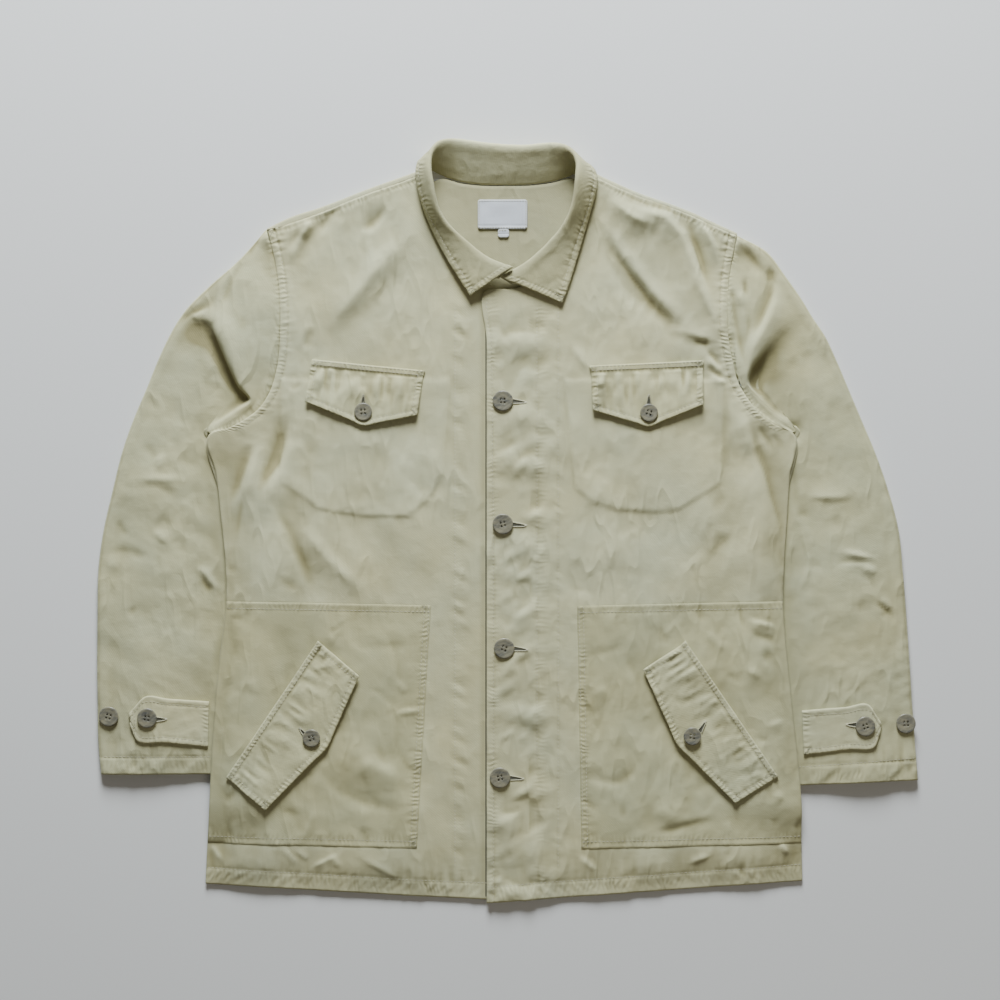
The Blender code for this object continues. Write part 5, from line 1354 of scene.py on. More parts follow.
class Finish:
    """A new material, and the nodes that feed its shader."""

    def __init__(self, name, roughness, **inputs):
        self.material = bpy.data.materials.new(name)
        self.material.use_nodes = True
        self.nodes, self.links = self.material.node_tree.nodes, self.material.node_tree.links
        self.shader = self.nodes["Principled BSDF"]
        self.normal = None
        for label, value in {"Roughness": roughness, "Metallic": 0.0, **inputs}.items():
            self.shader.inputs[label.replace("_", " ")].default_value = value

    def feed(self, label, source):
        self.links.new(source, self.shader.inputs[label])

    def node(self, kind, inputs, **settings):
        """A new node; each of its inputs is linked to a socket or set to a value."""
        node = self.nodes.new("ShaderNode" + kind)
        for name, value in settings.items():
            setattr(node, name, value)
        for label, value in inputs.items():
            self.join(value, node.inputs[label])
        return node

    def join(self, value, socket):
        if isinstance(value, bpy.types.NodeSocket):
            self.links.new(value, socket)
        else:
            socket.default_value = value

    def noise(self, vector, scale, detail=3.0, rough=0.5):
        inputs = {"Vector": vector, "Scale": scale, "Detail": detail, "Roughness": rough}
        return self.node("TexNoise", inputs).outputs["Fac"]

    def bands(self, vector, inputs, **settings):
        return self.node("TexWave", {"Vector": vector, **inputs}, **settings).outputs["Fac"]

    def mapped(self, turn=0.0, stretch=(1.0, 1.0, 1.0)):
        where = self.node("TexCoord", {}).outputs["Object"]
        inputs = {"Vector": where, "Rotation": (0, 0, turn), "Scale": stretch}
        return self.node("Mapping", inputs).outputs["Vector"]

    def graded(self, source, low, high, dark, light):
        inputs = {"Value": source, "From Min": low, "From Max": high, "To Min": dark, "To Max": light}
        return self.node("MapRange", inputs).outputs["Result"]

    def blended(self, factor, first, second):
        node = self.node("Mix", {"Factor": factor}, data_type="RGBA")
        colours = [socket for socket in node.inputs if socket.type == "RGBA"]
        for socket, value in zip(colours, (first, second)):
            self.join(value if isinstance(value, bpy.types.NodeSocket) else (*value[:3], 1.0), socket)
        return [socket for socket in node.outputs if socket.type == "RGBA"][0]

    def math(self, first, second, kind="ADD"):
        return self.node("Math", {0: first, 1: second}, operation=kind).outputs[0]

    def product(self, first, second):
        return self.math(first, second, "MULTIPLY")

    def attribute(self, name):
        return self.node("Attribute", {}, attribute_name=name).outputs["Fac"]

    def bump(self, height, distance, strength=1.0):
        """Fine relief over what the shader has so far."""
        node = self.node("Bump", {"Height": height, "Distance": distance, "Strength": strength})
        if self.normal:
            self.links.new(self.normal, node.inputs["Normal"])
        self.normal = node.outputs["Normal"]
        self.feed("Normal", self.normal)

    def crinkles(self, plain):
        """Soft short ridges with two main directions, in patches."""
        total = 0.0
        for lean, scale, width in ((0.45, 17.0, 0.10), (-0.5, 23.0, 0.12)):
            level = self.noise(self.mapped(lean, (2.4, 0.8, 1.0)), scale, 1.0)
            off = self.math(self.math(level, 0.5, "SUBTRACT"), 0.0, "ABSOLUTE")
            patchy = self.graded(self.noise(plain, scale * 0.6, 1.0), 0.46, 0.64, 0.0, 1.0)
            total = self.math(self.product(self.graded(off, 0.0, width, 1.0, 0.0), patchy), total)
        return total


def twill_material(name, look, turn, shade):
    """Washed cotton twill: fine diagonal ribs, slubs, slow colour drift, pale rubbed edges; painted shade,
    darker and browner, in hollows and sheltered places, and painted highlights on ridges and gathers.
    """
    cloth = Finish(name, 0.86, Specular_IOR_Level=0.28, Sheen_Weight=0.12, Sheen_Roughness=0.45,
                   Sheen_Tint=(0.86, 0.92, 1.0, 1.0))
    plain, along = cloth.mapped(), cloth.mapped(turn)
    base = tinted(look.cloth_colour, shade)
    mottle = cloth.noise(plain, 60.0, 4.0, 0.6)
    fine = cloth.noise(cloth.mapped(turn, (1.0, 4.0, 1.0)), 420.0, 2.0, 0.6)
    painted_shading, wear_and_painted_light = cloth.attribute("painted_shading"), cloth.attribute("wear_and_painted_light")
    # fine gathers along the seams: a bump, with painted highlights on their crests and painted shade in their
    # troughs
    phase = cloth.math(cloth.product(cloth.attribute("run"), 2 * np.pi / PITCH),
                      cloth.graded(cloth.noise(plain, 38.0, 2.0), 0.2, 0.8, -6.0, 6.0))
    calm = cloth.graded(cloth.noise(plain, 55.0, 1.0), 0.35, 0.65, 0.15, 1.0)
    wave = cloth.product(cloth.math(phase, 0.0, "SINE"), cloth.product(cloth.attribute("gather"), calm))
    wear_and_light = cloth.graded(cloth.noise(plain, 160.0, 3.0), 0.35, 0.65, 0.1, look.wear_and_light_share)
    colour = cloth.blended(cloth.graded(cloth.noise(plain, 9.0, 3.0, 0.55), 0.3, 0.7, 0.0, 1.0),
                           tinted(base, look.warm_shift), tinted(base, look.cool_shift))
    for share, factor in ((cloth.graded(mottle, 0.3, 0.72, 0.0, 0.4), 0.9),
                          (cloth.graded(fine, 0.35, 0.75, 0.0, 0.3), 1.12),
                          # painted shade in hollows, beside folds and under overlaps; painted highlight, paler
                          # and cooler, on ridges
                          (cloth.graded(painted_shading, 0.0, 2.2, 0.0, 2.0 * look.hollow_shade_share), (0.57, 0.53, 0.43)),
                          (cloth.graded(painted_shading, -0.05, -1.2, 0.0, look.ridge_highlight_share), (1.15, 1.18, 1.24)),
                          # paler at rubbed edges, which is wear, and on the collar's stand, which is painted
                          # light
                          (cloth.product(wear_and_painted_light, wear_and_light), (1.28, 1.28, 1.30)),
                          # painted highlight on the gathers' crests, painted shade in their troughs
                          (cloth.graded(wave, 0.1, 1.0, 0.0, look.gather_shading_share), (1.25, 1.27, 1.33)),
                          (cloth.graded(wave, -0.1, -1.0, 0.0, look.gather_shading_share), (0.66, 0.60, 0.46))):
        colour = cloth.blended(share, colour, tinted(base, factor))
    cloth.feed("Base Color", colour)
    rib = cloth.bands(along, {"Scale": 240.0, "Distortion": 1.2, "Detail": 1.0}, wave_type="BANDS",
                      bands_direction="DIAGONAL")
    slub = cloth.noise(cloth.mapped(turn, (1.0, 5.0, 1.0)), 260.0, 3.0, 0.6)
    cloth.bump(cloth.math(cloth.product(rib, 0.45), cloth.product(slub, 0.8)), 0.00035, 0.32)
    cloth.bump(cloth.noise(plain, 95.0, 4.0, 0.62), 0.0011, 0.5)
    cloth.bump(cloth.crinkles(plain), 0.0008)
    cloth.bump(wave, 0.00022)
    cloth.feed("Roughness", cloth.graded(mottle, 0.3, 0.7, 0.8, 0.95))
    return cloth.material


def thread_material(name, colour):
    thread = Finish(name, 0.6, Sheen_Weight=0.3)
    where = thread.mapped()
    tone = thread.graded(thread.noise(where, 700.0, 2.0), 0.3, 0.7, 0.0, 1.0)
    thread.feed("Base Color", thread.blended(tone, tinted(colour, 0.86), tinted(colour, 1.1)))
    thread.bump(thread.bands(where, {"Scale": 900.0}), 0.0002, 0.3)
    return thread.material


def horn_material(name, colour):
    """Dyed horn: clouded grey-olive with faint veins and a satin polish."""
    horn = Finish(name, 0.42, Coat_Weight=0.25, Coat_Roughness=0.22)
    where = horn.mapped(0.5, (1.0, 2.6, 1.0))
    tone = horn.graded(horn.noise(where, 95.0, 5.0, 0.62), 0.3, 0.7, 0.0, 1.0)
    vein = horn.bands(where, {"Scale": 45.0, "Distortion": 9.0, "Detail": 3.0})
    mixed = horn.blended(tone, tinted(colour, (0.52, 0.56, 0.70)), tinted(colour, (1.65, 1.58, 1.35)))
    horn.feed("Base Color", horn.blended(horn.graded(vein, 0.75, 1.0, 0.0, 0.35), mixed, tinted(colour, 1.7)))
    horn.feed("Roughness", horn.graded(horn.noise(where, 320.0), 0.3, 0.7, 0.26, 0.42))
    horn.bump(horn.noise(where, 900.0), 0.0002, 0.12)
    return horn.material


def tape_material(name, colour):
    """Woven satin tape: fine ribs across, slight yellowing at its edges."""
    tape = Finish(name, 0.62, Sheen_Weight=0.2)
    where = tape.mapped()
    rib = tape.bands(where, {"Scale": 520.0, "Distortion": 0.4}, bands_direction="Y")
    cloud = tape.noise(where, 55.0, 4.0, 0.6)
    mixed = tape.blended(tape.graded(cloud, 0.3, 0.7, 0.0, 1.0), tinted(colour, 0.93), colour)
    mixed = tape.blended(tape.graded(rib, 0.2, 0.8, 0.0, 0.25), mixed, tinted(colour, 0.85))
    yellow = tape.graded(tape.attribute("wear_and_painted_light"), 0.2, 1.0, 0.0, 0.5)
    tape.feed("Base Color", tape.blended(yellow, mixed, tinted(colour, (0.9, 0.87, 0.76))))
    tape.bump(rib, 0.0003, 0.35)
    return tape.material


# ---------------------------------------------------------------- what a user may change

def number(name, description, default, **more):
    return bpy.props.FloatProperty(name=name, description=description, default=default, **more)


def share(name, description, default):
    return number(name, description, default, min=0, max=1, subtype="FACTOR")


def triple(name, description, default, **more):
    return bpy.props.FloatVectorProperty(name=name, description=description, size=3, default=default, **more)


def colour(name, description, default):
    return triple(name, description, default, subtype="COLOR", min=0, max=1)


class JacketCloth(bpy.types.PropertyGroup):
    cell: number("Cell", "Size of the cloth's mesh cells, in millimetres", 2.6, min=1.5, max=8.0)
    strength: number("Creases", "How strong the creases and wrinkles are", 1.0, min=0.0, max=2.0)
    cloth_colour: colour("Cloth", "Colour of the washed cotton twill", (0.53, 0.515, 0.315))
    warm_shift: triple("Warm drift", "Multiplies the cloth's colour in its warm places", (1.05, 1.0, 0.90))
    cool_shift: triple("Cool drift", "Multiplies the cloth's colour in its cool places", (0.96, 1.0, 1.07))
    # Strength of the painted shade in hollows, and of the painted highlight on ridges
    hollow_shade_share: share("Hollows", "How far hollows turn browner and darker", 0.55)
    ridge_highlight_share: share("Ridges", "How far ridges are rubbed pale", 0.35)
    # Strength of the paler rubbed edges, and of the painted light on the collar's stand
    wear_and_light_share: share("Wear", "How far cut and folded edges are rubbed pale", 0.4)
    # Strength of the painted highlight and shade on the gathers along seams
    gather_shading_share: share("Gathers", "How strongly gathers along seams are drawn", 0.2)
    thread_colour: colour("Thread", "Colour of the sewing thread", (0.52, 0.50, 0.35))
    horn_colour: colour("Buttons", "Colour of the horn buttons", (0.168, 0.161, 0.123))
    tape_colour: colour("Label", "Colour of the bare woven label", (0.60, 0.63, 0.68))


class JacketStage(bpy.types.PropertyGroup):
    key_power: number("Main light", "Power of the soft light beyond the collar", 215.0, min=0, unit="POWER")
    fill_power: number("Fill light", "Power of the light from the hem's side", 5.0, min=0, unit="POWER")
    sky: number("Surroundings", "Strength of the even light all round", 0.11, min=0)
    floor_colour: colour("Surface", "Colour of the plain surface under the jacket", (0.78, 0.78, 0.77))


SIDES = ((-1, "left"), (1, "right"))
EDGES = ("left", "right", "low", "high")
PATCH_SHADE = (0.90, 0.89, 0.84)
FLAP_SHADE = (0.95, 0.95, 0.92)
EDGE_GATHERS = [("right", 3.5, 3.5), ("low", 3.5, 3.5), ("high", 3.5, 3.5)]
materials = {}
grids = {}


def finish_of(kind, look, turn=0.0, shade=(1.0, 1.0, 1.0)):
    """The material of a piece, made once."""
    key = (kind, round(turn, 2), shade)
    if key not in materials:
        if kind == "twill":
            materials[key] = twill_material(f"washed_twill_{len(materials)}", look, turn, shade)
        else:
            make, name, tone = {"thread": (thread_material, "sewing_thread", look.thread_colour),
                                "slit": (thread_material, "slit_shadow", tinted(look.thread_colour, 0.15)),
                                "horn": (horn_material, "dyed_horn", look.horn_colour),
                                "tape": (tape_material, "satin_tape", look.tape_colour)}[kind]
            materials[key] = make(name, tuple(tone))
    return materials[key]


def grid_of(name, look):
    """The fine grid of a piece, made once: others are laid on it and sewn to it."""
    if name in grids:
        return grids[name]
    part, word = name.split("_")
    side = -1 if word == "left" else 1
    cell, strength = look.cell, look.strength
    if part == "front":
        grids[name], grids[name + "_marks"] = front_grid(side, cell, strength)
    elif part == "patch":
        front = grid_of("front_" + word, look)
        rows, cols = grids[f"front_{word}_marks"]
        base = front[rows[PATCH_ROWS[0]]:rows[PATCH_ROWS[1]] + 1, :cols[PATCH_COLUMN] + 1].copy()
        base[:, 0, 0] += -side * 0.4
        grids[name] = patch_relief(side, base, strength)
    elif part == "sleeve":
        grids[name + "_loop"], grids[name] = sleeve_grid(side, cell, strength)
    elif part == "chest":
        relief = flap_relief(101 + side, CHEST_BAND, 8.8, 2.6, strength)
        grids[name] = flap_grid(CHEST_FLAP[side], ground_of(look, "front"), cell * 0.8, relief)
    elif part == "pocket":
        relief = flap_relief(111 + side, POCKET_BAND, 9.6, 1.1, strength, FLAP_CREASES[side])
        grids[name] = flap_grid(LOWER_FLAP[side], ground_of(look, "front", "patch"), cell * 0.8, relief)
    else:
        grids[name] = tab_grid(TAB[side], Ground([grid_of("sleeve_" + word, look)]), cell * 0.7, strength, side)
    return grids[name]


def ground_of(look, *parts):
    """The ground made of both sides of these parts."""
    return Ground([grid_of(f"{part}_{word}", look) for part in parts for _, word in SIDES])


def patch_relief(side, base, strength):
    """The patch pocket: the front's own points moved out, with its sewn outline and its gathers."""
    plan = base[..., :2]
    x, y = plan[..., 0], plan[..., 1]
    grid = base + (0, 0, REST + WALL)
    relief = np.zeros(x.shape)
    inner = ramp(from_side(plan, "right")[0], 8, 20)
    for seed, (edge, band) in enumerate(PATCH_BANDS, 121):
        away, run = from_side(plan, edge)
        relief += sewn(away, run, band, 0.0, 0.5, 9.6, seed + side, 0.4) * (inner if edge != "right" else 1.0)
    relief += 0.5 * strength * crumple(x, y, 0.7 * side, 131 + side)
    spare = REST - 0.12    # the gap below, less the deepest stitch line
    grid[..., 2] += np.maximum(relief, -0.12) - (WALL + spare - patch_wall(base) * (1 + spare / WALL))
    return grid


def patch_wall(base):
    """Thickness of a patch pocket's cloth, pressed flat at its turned-in edges."""
    near = np.minimum.reduce([from_side(base, edge)[0] for edge in EDGES[1:]])
    return 0.35 + (WALL - 0.35) * ramp(near, 0, 5)


def tab_grid(marks, ground, cell, strength, side):
    marks = np.array(marks, float)
    plan = refined(np.stack([marks[:, 0:2], (marks[:, 0:2] + marks[:, 2:4]) / 2, marks[:, 2:4]], axis=1), cell)
    base = ground.heights(plan)
    relief = np.zeros(base.shape)
    for edge in EDGES[:3]:
        away, run = from_side(plan, edge)
        relief += 0.8 * sewn(away, run, EDGE_BAND, 0.45, 0.5, 9.0, 141 + len(edge), 0.6)
    relief += 0.6 * strength * crumple(plan[..., 0], plan[..., 1], 0.3, 145 + side)
    low = np.maximum(soften(draped(base, 5), 1) + 0.4 + relief, base + REST)
    return np.concatenate([plan, (low + DOUBLE)[..., None]], axis=-1)


def dress(obj, nodes):
    """Gives a piece its body and hides the part nodes that it stands for."""
    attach(obj, "root")
    if nodes:
        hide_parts(nodes)
    return obj


class JACKET_OT_back(bpy.types.Operator):
    """Back panel, with its shoulders folded over to the front seams"""
    bl_idname = "jacket.back"
    bl_label = "Back"

    def execute(self, context):
        look = context.scene.jacket_cloth
        outer, inner, crown = back_grids(look.cell * 1.3)
        known = ~np.isnan(outer[..., 0])
        keep = known[:-1, :-1] & known[1:, 1:] & known[1:, :-1] & known[:-1, 1:]
        x, y = outer[:crown, :, 0], outer[:crown, :, 1]
        dent = 0.5 * look.strength * np.maximum(crumple(x, y, 0.8, 151), 0.0) * ramp(y, -360, -330)
        dent = dent * (1.0 - ramp(y, 250, 300)) * (1.0 - ramp(abs(x), 235, 275))
        for grid in (outer, inner):
            grid[:crown, :, 2] += dent
            grid[np.isnan(grid)] = 0.0
        # A darker copy of the twill, darker still in the middle: painted shade on the inside of the back under
        # the collar
        marks = {"painted_shading": 0.9 * np.exp(-(inner[..., 0] / 82.0) ** 4)}
        finish = finish_of("twill", look, 0.0, (0.86, 0.86, 0.88))
        obj = shell("back_cloth", inner, outer, finish, keep, marks=marks)
        dress(obj, "back_panel")
        return {"FINISHED"}


class JACKET_OT_fronts(bpy.types.Operator):
    """The two fronts, the one at the right closing on top"""
    bl_idname = "jacket.fronts"
    bl_label = "Fronts"

    def execute(self, context):
        look = context.scene.jacket_cloth
        for side, word in SIDES:
            high = grid_of("front_" + word, look)
            x, y = high[..., 0], high[..., 1]
            away, run = from_side(high, "left")
            # Painted shade: darker beside the side seams below the armholes, and in a strip just above the hem
            # band
            painted_shade = 0.75 * bell(away, 62.0) * (1.0 - ramp(y, 70, 110))
            painted_shade += 0.45 * ramp(y, -346, -354) * ramp(from_side(high, "low")[0], 16, 20)
            more = [(bell(away - 4.5, 4.5) * ramp(y, 86, 100), run)]
            if side > 0:
                more.append((0.5 * bell(x + 16.0, 6.0) * (y < 240), y))
                more.append((0.35 * bell(x - 36.0, 7.0) * (y < 230), y))
            else:
                # painted shadow of the over front's edge on the under front
                painted_shade += 0.8 * bell(x + 25.0, 4.0)
                more.append((0.15 * bell(x + 50.0, 7.0) * (y < 230), y))
            obj = shell_up(f"front_{word}_cloth", high, WALL, finish_of("twill", look, 0.02 * side),
                           EDGES[:3], painted_shade, [("low", 10, 8), ("high", 4, 4)], more)
            node = {"left": "front_left_under", "right": "front_right_over"}[word]
            dress(obj, node)
        return {"FINISHED"}


class JACKET_OT_sleeves(bpy.types.Operator):
    """The two sleeves, each a tube with its cap folded over the lower sleeve"""
    bl_idname = "jacket.sleeves"
    bl_label = "Sleeves"

    def execute(self, context):
        look = context.scene.jacket_cloth
        for side, word in SIDES:
            grid_of("sleeve_" + word, look)
            loop = grids[f"sleeve_{word}_loop"]
            x, y = loop[..., 0], loop[..., 1]
            inward = side * (x - side_x(side, np.minimum(y, ARMPIT)))
            # Painted shade: darker in the sleeve's troughs, next to the body's side, beside the fold edges and
            # in the pits
            painted_shading = hollowness(loop) + 0.55 * bell(inward, 20.0) * (1.0 - ramp(y, 60, 100))
            hem = y + 275.5 + 4.5 * side
            for strong, reach, line in FOLD_SHADOWS[side]:
                off, _, _ = beside(x, y, line)
                painted_shading += strong * np.exp(-abs(off) / reach) * ramp(side * off, -1.5, 1.5) * (loop[..., 2] > 2.5)
            px, py, wide, tall, strong = PIT_SHADES[side]
            painted_shading += strong * bell(x - px, wide) * bell(y - py, tall)
            off, run, _ = beside(x, y, ARMHOLE[side])
            marks = {"wear_and_painted_light": bell(hem, 3.0), "painted_shading": painted_shading, "gather": 0.8 * bell(off, 4.0), "run": run}
            add_gathers(marks, 0.8 * bell(hem - 8.0, 7.0), x)
            obj = shell(f"sleeve_{word}_cloth", loop, sleeve_inner(loop),
                        finish_of("twill", look, -0.22 * side, (0.92, 0.92, 0.90)), closed=True, marks=marks)
            dress(obj, "sleeve_" + word)
        return {"FINISHED"}


class JACKET_OT_collar(bpy.types.Operator):
    """Stand and fall of the collar, folded at the roll"""
    bl_idname = "jacket.collar"
    bl_label = "Collar"

    def execute(self, context):
        look = context.scene.jacket_cloth
        outer, inner = collar_grids(look.cell * 0.8, look.strength)
        length = np.cumsum(np.linalg.norm(np.diff(outer, axis=1), axis=-1), axis=1)
        away = length[:, -1:] - np.concatenate([0 * length[:, :1], length], axis=1)
        # The stand's inside is drawn paler, painted light, and the rest of the collar darker, painted shade;
        # its rubbed edges are wear
        stand = ramp(abs(outer[..., 0]), 62, 40) * (outer[..., 1] > 355)
        marks = gathered(outer, [("right", 5, 5), ("low", 4, 4), ("high", 4, 4)],
                         {"wear_and_painted_light": np.maximum(bell(away, 2.5), stand), "painted_shading": 0.6 - 1.8 * stand})
        finish = finish_of("twill", look, 1.3, (0.96, 0.96, 0.94))
        obj = shell("collar_cloth", outer, inner, finish, marks=marks)
        dress(obj, "collar")
        grids["collar"] = outer
        return {"FINISHED"}


class JACKET_OT_pockets(bpy.types.Operator):
    """The two patch pockets"""
    bl_idname = "jacket.pockets"
    bl_label = "Patch pockets"

    def execute(self, context):
        look = context.scene.jacket_cloth
        for side, word in SIDES:
            high = grid_of("patch_" + word, look)
            # Painted shade: darker towards the patch's side, near the body's side seam
            painted_shade = 0.3 * bell(from_side(high, "left")[0], 45.0)
            finish = finish_of("twill", look, 0.05 * side, PATCH_SHADE)
            obj = shell_up(f"patch_{word}_cloth", high, patch_wall(high), finish, (), painted_shade,
                           [("right", 4, 4), ("low", 6, 5), ("high", 4, 4)])
            dress(obj, "pocket_patch_" + word)
        return {"FINISHED"}


class JACKET_OT_flaps(bpy.types.Operator):
    """Flaps of the chest and patch pockets, each with its stitched band"""
    bl_idname = "jacket.flaps"
    bl_label = "Flaps"

    def execute(self, context):
        look = context.scene.jacket_cloth
        for side, word in SIDES:
            for part, turn, cut, area, below in (("chest", 0.08, (0.13, 0.08), 0.0075, "front"),
                                                 ("pocket", -0.98, (0.19, 0.07), 0.0100, "patch")):
                node, finish = f"{part}_flap_{word}", finish_of("twill", look, turn * side, FLAP_SHADE)
                obj = shell_up(node + "_cloth", grid_of(f"{part}_{word}", look), DOUBLE, finish,
                               EDGES[1:], 0.0, [("left", 3, 3.5), *EDGE_GATHERS])
                dress(obj, node)
        return {"FINISHED"}


class JACKET_OT_tabs(bpy.types.Operator):
    """Tabs at the cuffs"""
    bl_idname = "jacket.tabs"
    bl_label = "Cuff tabs"

    def execute(self, context):
        look = context.scene.jacket_cloth
        for _, word in SIDES:
            obj = shell_up(f"cuff_tab_{word}_cloth", grid_of("tab_" + word, look), DOUBLE,
                           finish_of("twill", look, 1.5), EDGES[:3], 0.0, EDGE_GATHERS)
            dress(obj, "cuff_tab_" + word)
        return {"FINISHED"}


class JACKET_OT_labels(bpy.types.Operator):
    """Bare neck label and bare size tab"""
    bl_idname = "jacket.labels"
    bl_label = "Labels"

    def execute(self, context):
        look = context.scene.jacket_cloth
        for name, box, cut in (("neck_label", LABEL, (0.054, 0.032)), ("size_tab", SIZE_TAB, (0.013, 0.010))):
            x0, x1, y0, y1 = box
            x, y = np.meshgrid(np.linspace(x0, x1, 54), np.linspace(y0, y1, 32))
            edge = np.minimum(np.minimum(x - x0, x1 - x), np.minimum(y - y0, y1 - y))
            middle, half = np.array([x0 + x1, y0 + y1]) / 2, np.array([x1 - x0, y1 - y0]) / 2 - CORNER
            u, v = (np.maximum(abs(c - m) - h, 0) for c, m, h in zip((x, y), middle, half))
            pull = np.maximum(u, v) / np.maximum(np.hypot(u, v), 1e-9)
            in_x, in_y = half[0] + u * np.where(v > 0, pull, 1), half[1] + v * np.where(u > 0, pull, 1)
            x = np.where(u > 0, middle[0] + np.sign(x - middle[0]) * in_x, x)
            y = np.where(v > 0, middle[1] + np.sign(y - middle[1]) * in_y, y)
            folded = 0.35 * (1.0 - ramp(np.minimum(x - x0, x1 - x), 4.0, 6.0))
            wavy = 0.4 * swell(x, y, 13.0, 161) * ramp(edge, 0, 5)
            z = WALL + REST + TAPE + wavy + folded - 0.3 * bell(y - y0 - 3.4, 0.9)
            high = np.stack([x, y, z + 0.25], axis=-1)
            obj = shell(name + "_tape", high, high - (0, 0, TAPE), finish_of("tape", look),
                        marks={"wear_and_painted_light": bell(edge, 1.5)})
            dress(obj, name)
            grids[name] = high
        return {"FINISHED"}


class JACKET_OT_buttons(bpy.types.Operator):
    """Four-hole buttons, each sewn on with two strands of thread"""
    bl_idname = "jacket.buttons"
    bl_label = "Buttons"

    def execute(self, context):
        look = context.scene.jacket_cloth
        strands = []
        ground = ground_of(look, "front", "chest", "pocket", "tab", "sleeve")
        for number, (name, x, y, diameter, thick) in enumerate(BUTTONS):
            low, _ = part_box(name)
            spots = circle(diameter * 0.37, 12, (x, y))
            base = max(low[2] / MM, max(ground.height(*spot) for spot in spots) + BUTTON_REST)
            points, faces = button_mesh(diameter, thick)
            turn = 0.35 * np.sin(2.3 * number)
            c, s = np.cos(turn), np.sin(turn)
            points = points @ np.array([[c, s, 0], [-s, c, 0], [0, 0, 1.0]]) + (x, y, base)
            dress(loose_mesh(name + "_horn", [(points, faces)], finish_of("horn", look)), name)
            spin = np.array([[c, s], [-s, c]])
            z = base + thick * 0.4
            for j in (-1, 1):
                for nudge in (-0.22, 0.22):
                    a, b = (np.array([i * HOLE_OFFSET, j * HOLE_OFFSET + nudge]) @ spin for i in (-1, 1))
                    strands.append(strand((x + a[0], y + a[1], z), (x + b[0], y + b[1], z), thick * 0.26))
        dress(loose_mesh("button_threads", strands, finish_of("thread", look)), None)
        return {"FINISHED"}


class JACKET_OT_stitching(bpy.types.Operator):
    """Topstitching of every seam, hem, flap and tab, the buttonholes, and painted shadows in the buttonholes
    and along the placket's edge
    """
    bl_idname = "jacket.stitching"
    bl_label = "Stitching"

    def execute(self, context):
        look = context.scene.jacket_cloth
        sewn_on = {"fronts": [], "pockets": [], "flaps": [], "sleeves": [], "collar": [], "label": []}
        painted_shadows = []

        def sew(group, grid, rows, *size):
            for edge, distance in rows:
                sewn_on[group].extend(stitches(line_from_side(grid, edge, distance), *size))

        def sew_plan(group, ground, a, b):
            sewn_on[group].extend(stitches(dropped([a, b], ground, 0.05)))

        def open_hole(group, ground, *place):
            threads, slit = buttonhole(*place, ground)
            sewn_on[group].extend(threads)
            painted_shadows.append(slit)

        for side, word in SIDES:
            front = grid_of("front_" + word, look)
            sew("fronts", front, [("low", HEM_BAND)])
            armhole = line_from_side(front, "left", SEAM_BAND)
            sewn_on["fronts"] += stitches(armhole[armhole[:, 1] > 96])
            if side > 0:
                edge = line_from_side(front, "right", SEAM_BAND)
                sewn_on["fronts"] += stitches(edge[edge[:, 1] < 240])
            rim = [(edge, EDGE_BAND) for edge in EDGES[1:]]
            sew("pockets", grid_of("patch_" + word, look), [*PATCH_BANDS, ("right", 1.8)])
            sew("flaps", grid_of("chest_" + word, look), [("left", FOLD_LINE), ("left", 5.3), *rim])
            sew("flaps", grid_of("pocket_" + word, look), [("left", FOLD_LINE), ("left", 4.8), *rim])
            sew("sleeves", grid_of("tab_" + word, look), [(edge, EDGE_BAND) for edge in EDGES[:3]])
            sew_plan("sleeves", Ground([grid_of("sleeve_" + word, look)]), *CUFF_LINE[side])
        body, under = (Ground([grid_of("front_" + word, look)]) for word in ("right", "left"))
        for x, low in PLACKET_LINES:
            sew_plan("fronts", body, (x, 228), (x, low))
        sew_plan("fronts", under, (UNDER_LINE, 228), (UNDER_LINE, -372))
        for _, x, y, diameter, _ in BUTTONS[:4]:
            open_hole("fronts", body, x + diameter * 0.5 + 6.0, y - 1.0, 13.0, -0.09)
        flaps = ground_of(look, "chest", "pocket", "tab")
        for place in FLAP_HOLES:
            open_hole("flaps", flaps, *place)
        # A dark strip on the under front beside the over front's edge: a painted shadow of that edge
        line = dropped([(-22.5, 236), (-22.5, -402)], under, 0.08)
        count = len(line)
        strip = np.concatenate([line - (0.7, 0, 0), line + (0.7, 0, 0)])
        painted_shadows.append((strip, [(k, k + 1, count + k + 1, count + k) for k in range(count - 1)]))
        dress(loose_mesh("painted_slit_shadows", painted_shadows, finish_of("slit", look)), None)
        sew("collar", grids["collar"], rim)
        sew("label", grids["neck_label"], [(edge, FOLD_LINE) for edge in EDGES], 2.2, 0.7)
        sew("label", grids["size_tab"], [("high", FOLD_LINE)], 2.2, 0.7)
        for group, chunks in sewn_on.items():
            dress(loose_mesh("stitching_" + group, chunks, finish_of("thread", look)), None)
        return {"FINISHED"}


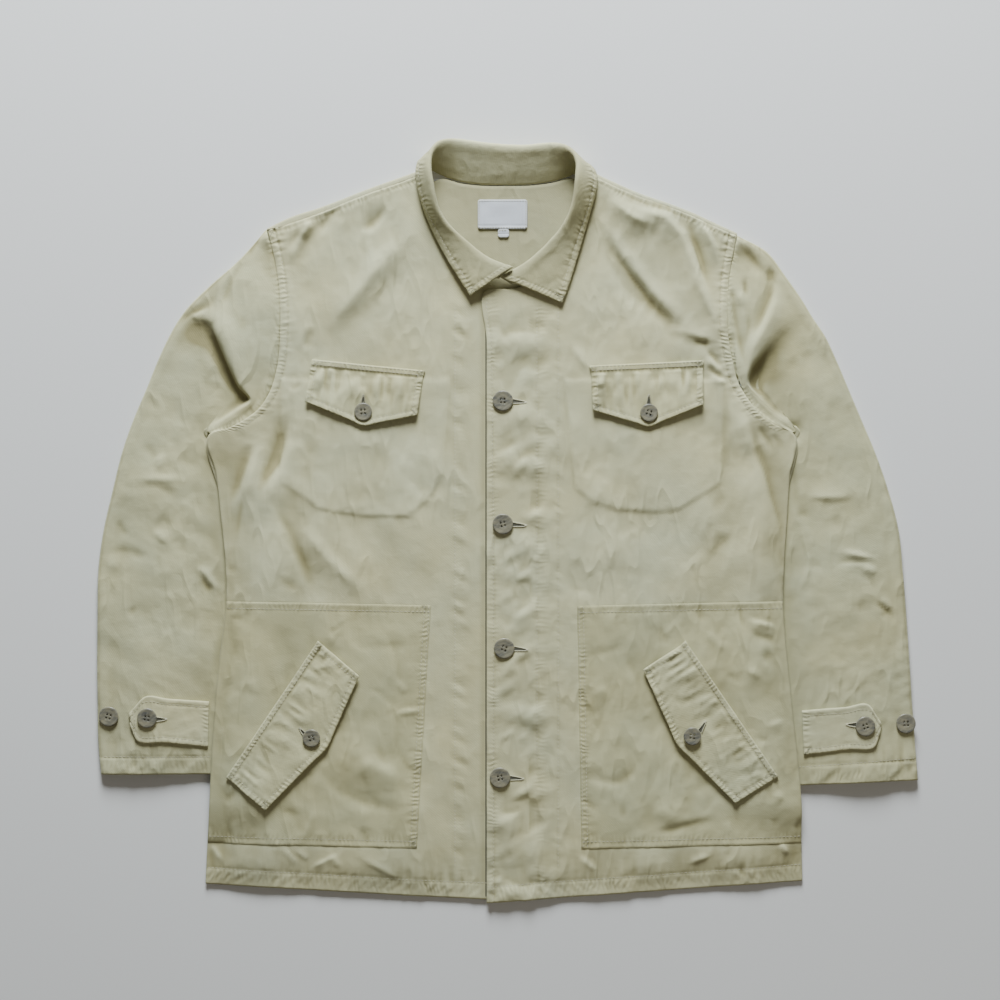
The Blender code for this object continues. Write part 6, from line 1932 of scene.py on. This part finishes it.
class JACKET_OT_stage(bpy.types.Operator):
    """Plain pale surface, soft studio light and the camera straight above"""
    bl_idname = "jacket.stage"
    bl_label = "Studio"

    def execute(self, context):
        stage = context.scene.jacket_stage
        bpy.ops.mesh.primitive_plane_add(size=8.0, location=(0, 0, -0.0006))
        floor = context.object
        floor.name = "surface"
        plain = Finish("plain_surface", 0.9)
        base = tuple(stage.floor_colour)
        plain.feed("Base Color", plain.blended(plain.noise(plain.mapped(), 3.0, 2.0), base, tinted(base, 0.97)))
        floor.data.materials.append(plain.material)
        for name, place, size, power, tone in (
                ("main_light", (-0.1, 2.6, 1.15), 1.2, stage.key_power, (0.90, 0.96, 1.0)),
                ("fill_light", (0.9, -1.2, 1.8), 1.6, stage.fill_power, (1.0, 0.92, 0.76))):
            data = bpy.data.lights.new(name, "AREA")
            data.shape, data.size, data.energy, data.color = "DISK", size, power, tone
            lamp = bpy.data.objects.new(name, data)
            context.scene.collection.objects.link(lamp)
            lamp.location = place
            lamp.rotation_euler = (-Vector(place)).to_track_quat("-Z", "Y").to_euler()
        world = bpy.data.worlds.new("studio")
        context.scene.world = world
        world.use_nodes = True
        background = world.node_tree.nodes["Background"]
        background.inputs["Color"].default_value = (1.0, 0.95, 0.86, 1.0)
        background.inputs["Strength"].default_value = stage.sky
        data = bpy.data.cameras.new("camera")
        data.sensor_width = 36.0
        data.lens = data.sensor_width * CAMERA_HIGH / PICTURE_WIDE
        data.dof.use_dof = False
        camera = bpy.data.objects.new("camera", data)
        context.scene.collection.objects.link(camera)
        camera.location = (*PICTURE_MIDDLE, CAMERA_HIGH)
        context.scene.camera = camera
        return {"FINISHED"}


STEPS = (JACKET_OT_back, JACKET_OT_fronts, JACKET_OT_sleeves, JACKET_OT_collar, JACKET_OT_pockets,
         JACKET_OT_flaps, JACKET_OT_tabs, JACKET_OT_labels, JACKET_OT_buttons, JACKET_OT_stitching,
         JACKET_OT_stage)


class JACKET_PT_panel(bpy.types.Panel):
    """Lists the steps of the jacket in the 3D view's sidebar"""
    bl_label = "Chore jacket"
    bl_idname = "JACKET_PT_panel"
    bl_space_type = "VIEW_3D"
    bl_region_type = "UI"
    bl_category = "Jacket"

    def draw(self, context):
        layout = self.layout
        for group in (context.scene.jacket_cloth, context.scene.jacket_stage):
            for name in group.bl_rna.properties.keys():
                if name not in ("rna_type", "name"):
                    layout.prop(group, name)
        for step in STEPS:
            layout.operator(step.bl_idname)


CLASSES = (JacketCloth, JacketStage, *STEPS, JACKET_PT_panel)


def register():
    for cls in CLASSES:
        bpy.utils.register_class(cls)
    bpy.types.Scene.jacket_cloth = bpy.props.PointerProperty(type=JacketCloth)
    bpy.types.Scene.jacket_stage = bpy.props.PointerProperty(type=JacketStage)


def unregister():
    del bpy.types.Scene.jacket_stage
    del bpy.types.Scene.jacket_cloth
    for cls in reversed(CLASSES):
        bpy.utils.unregister_class(cls)


def main():
    register()
    for step in STEPS:
        group, _, name = step.bl_idname.partition(".")
        getattr(getattr(bpy.ops, group), name)()


if __name__ == "__main__":
    main()
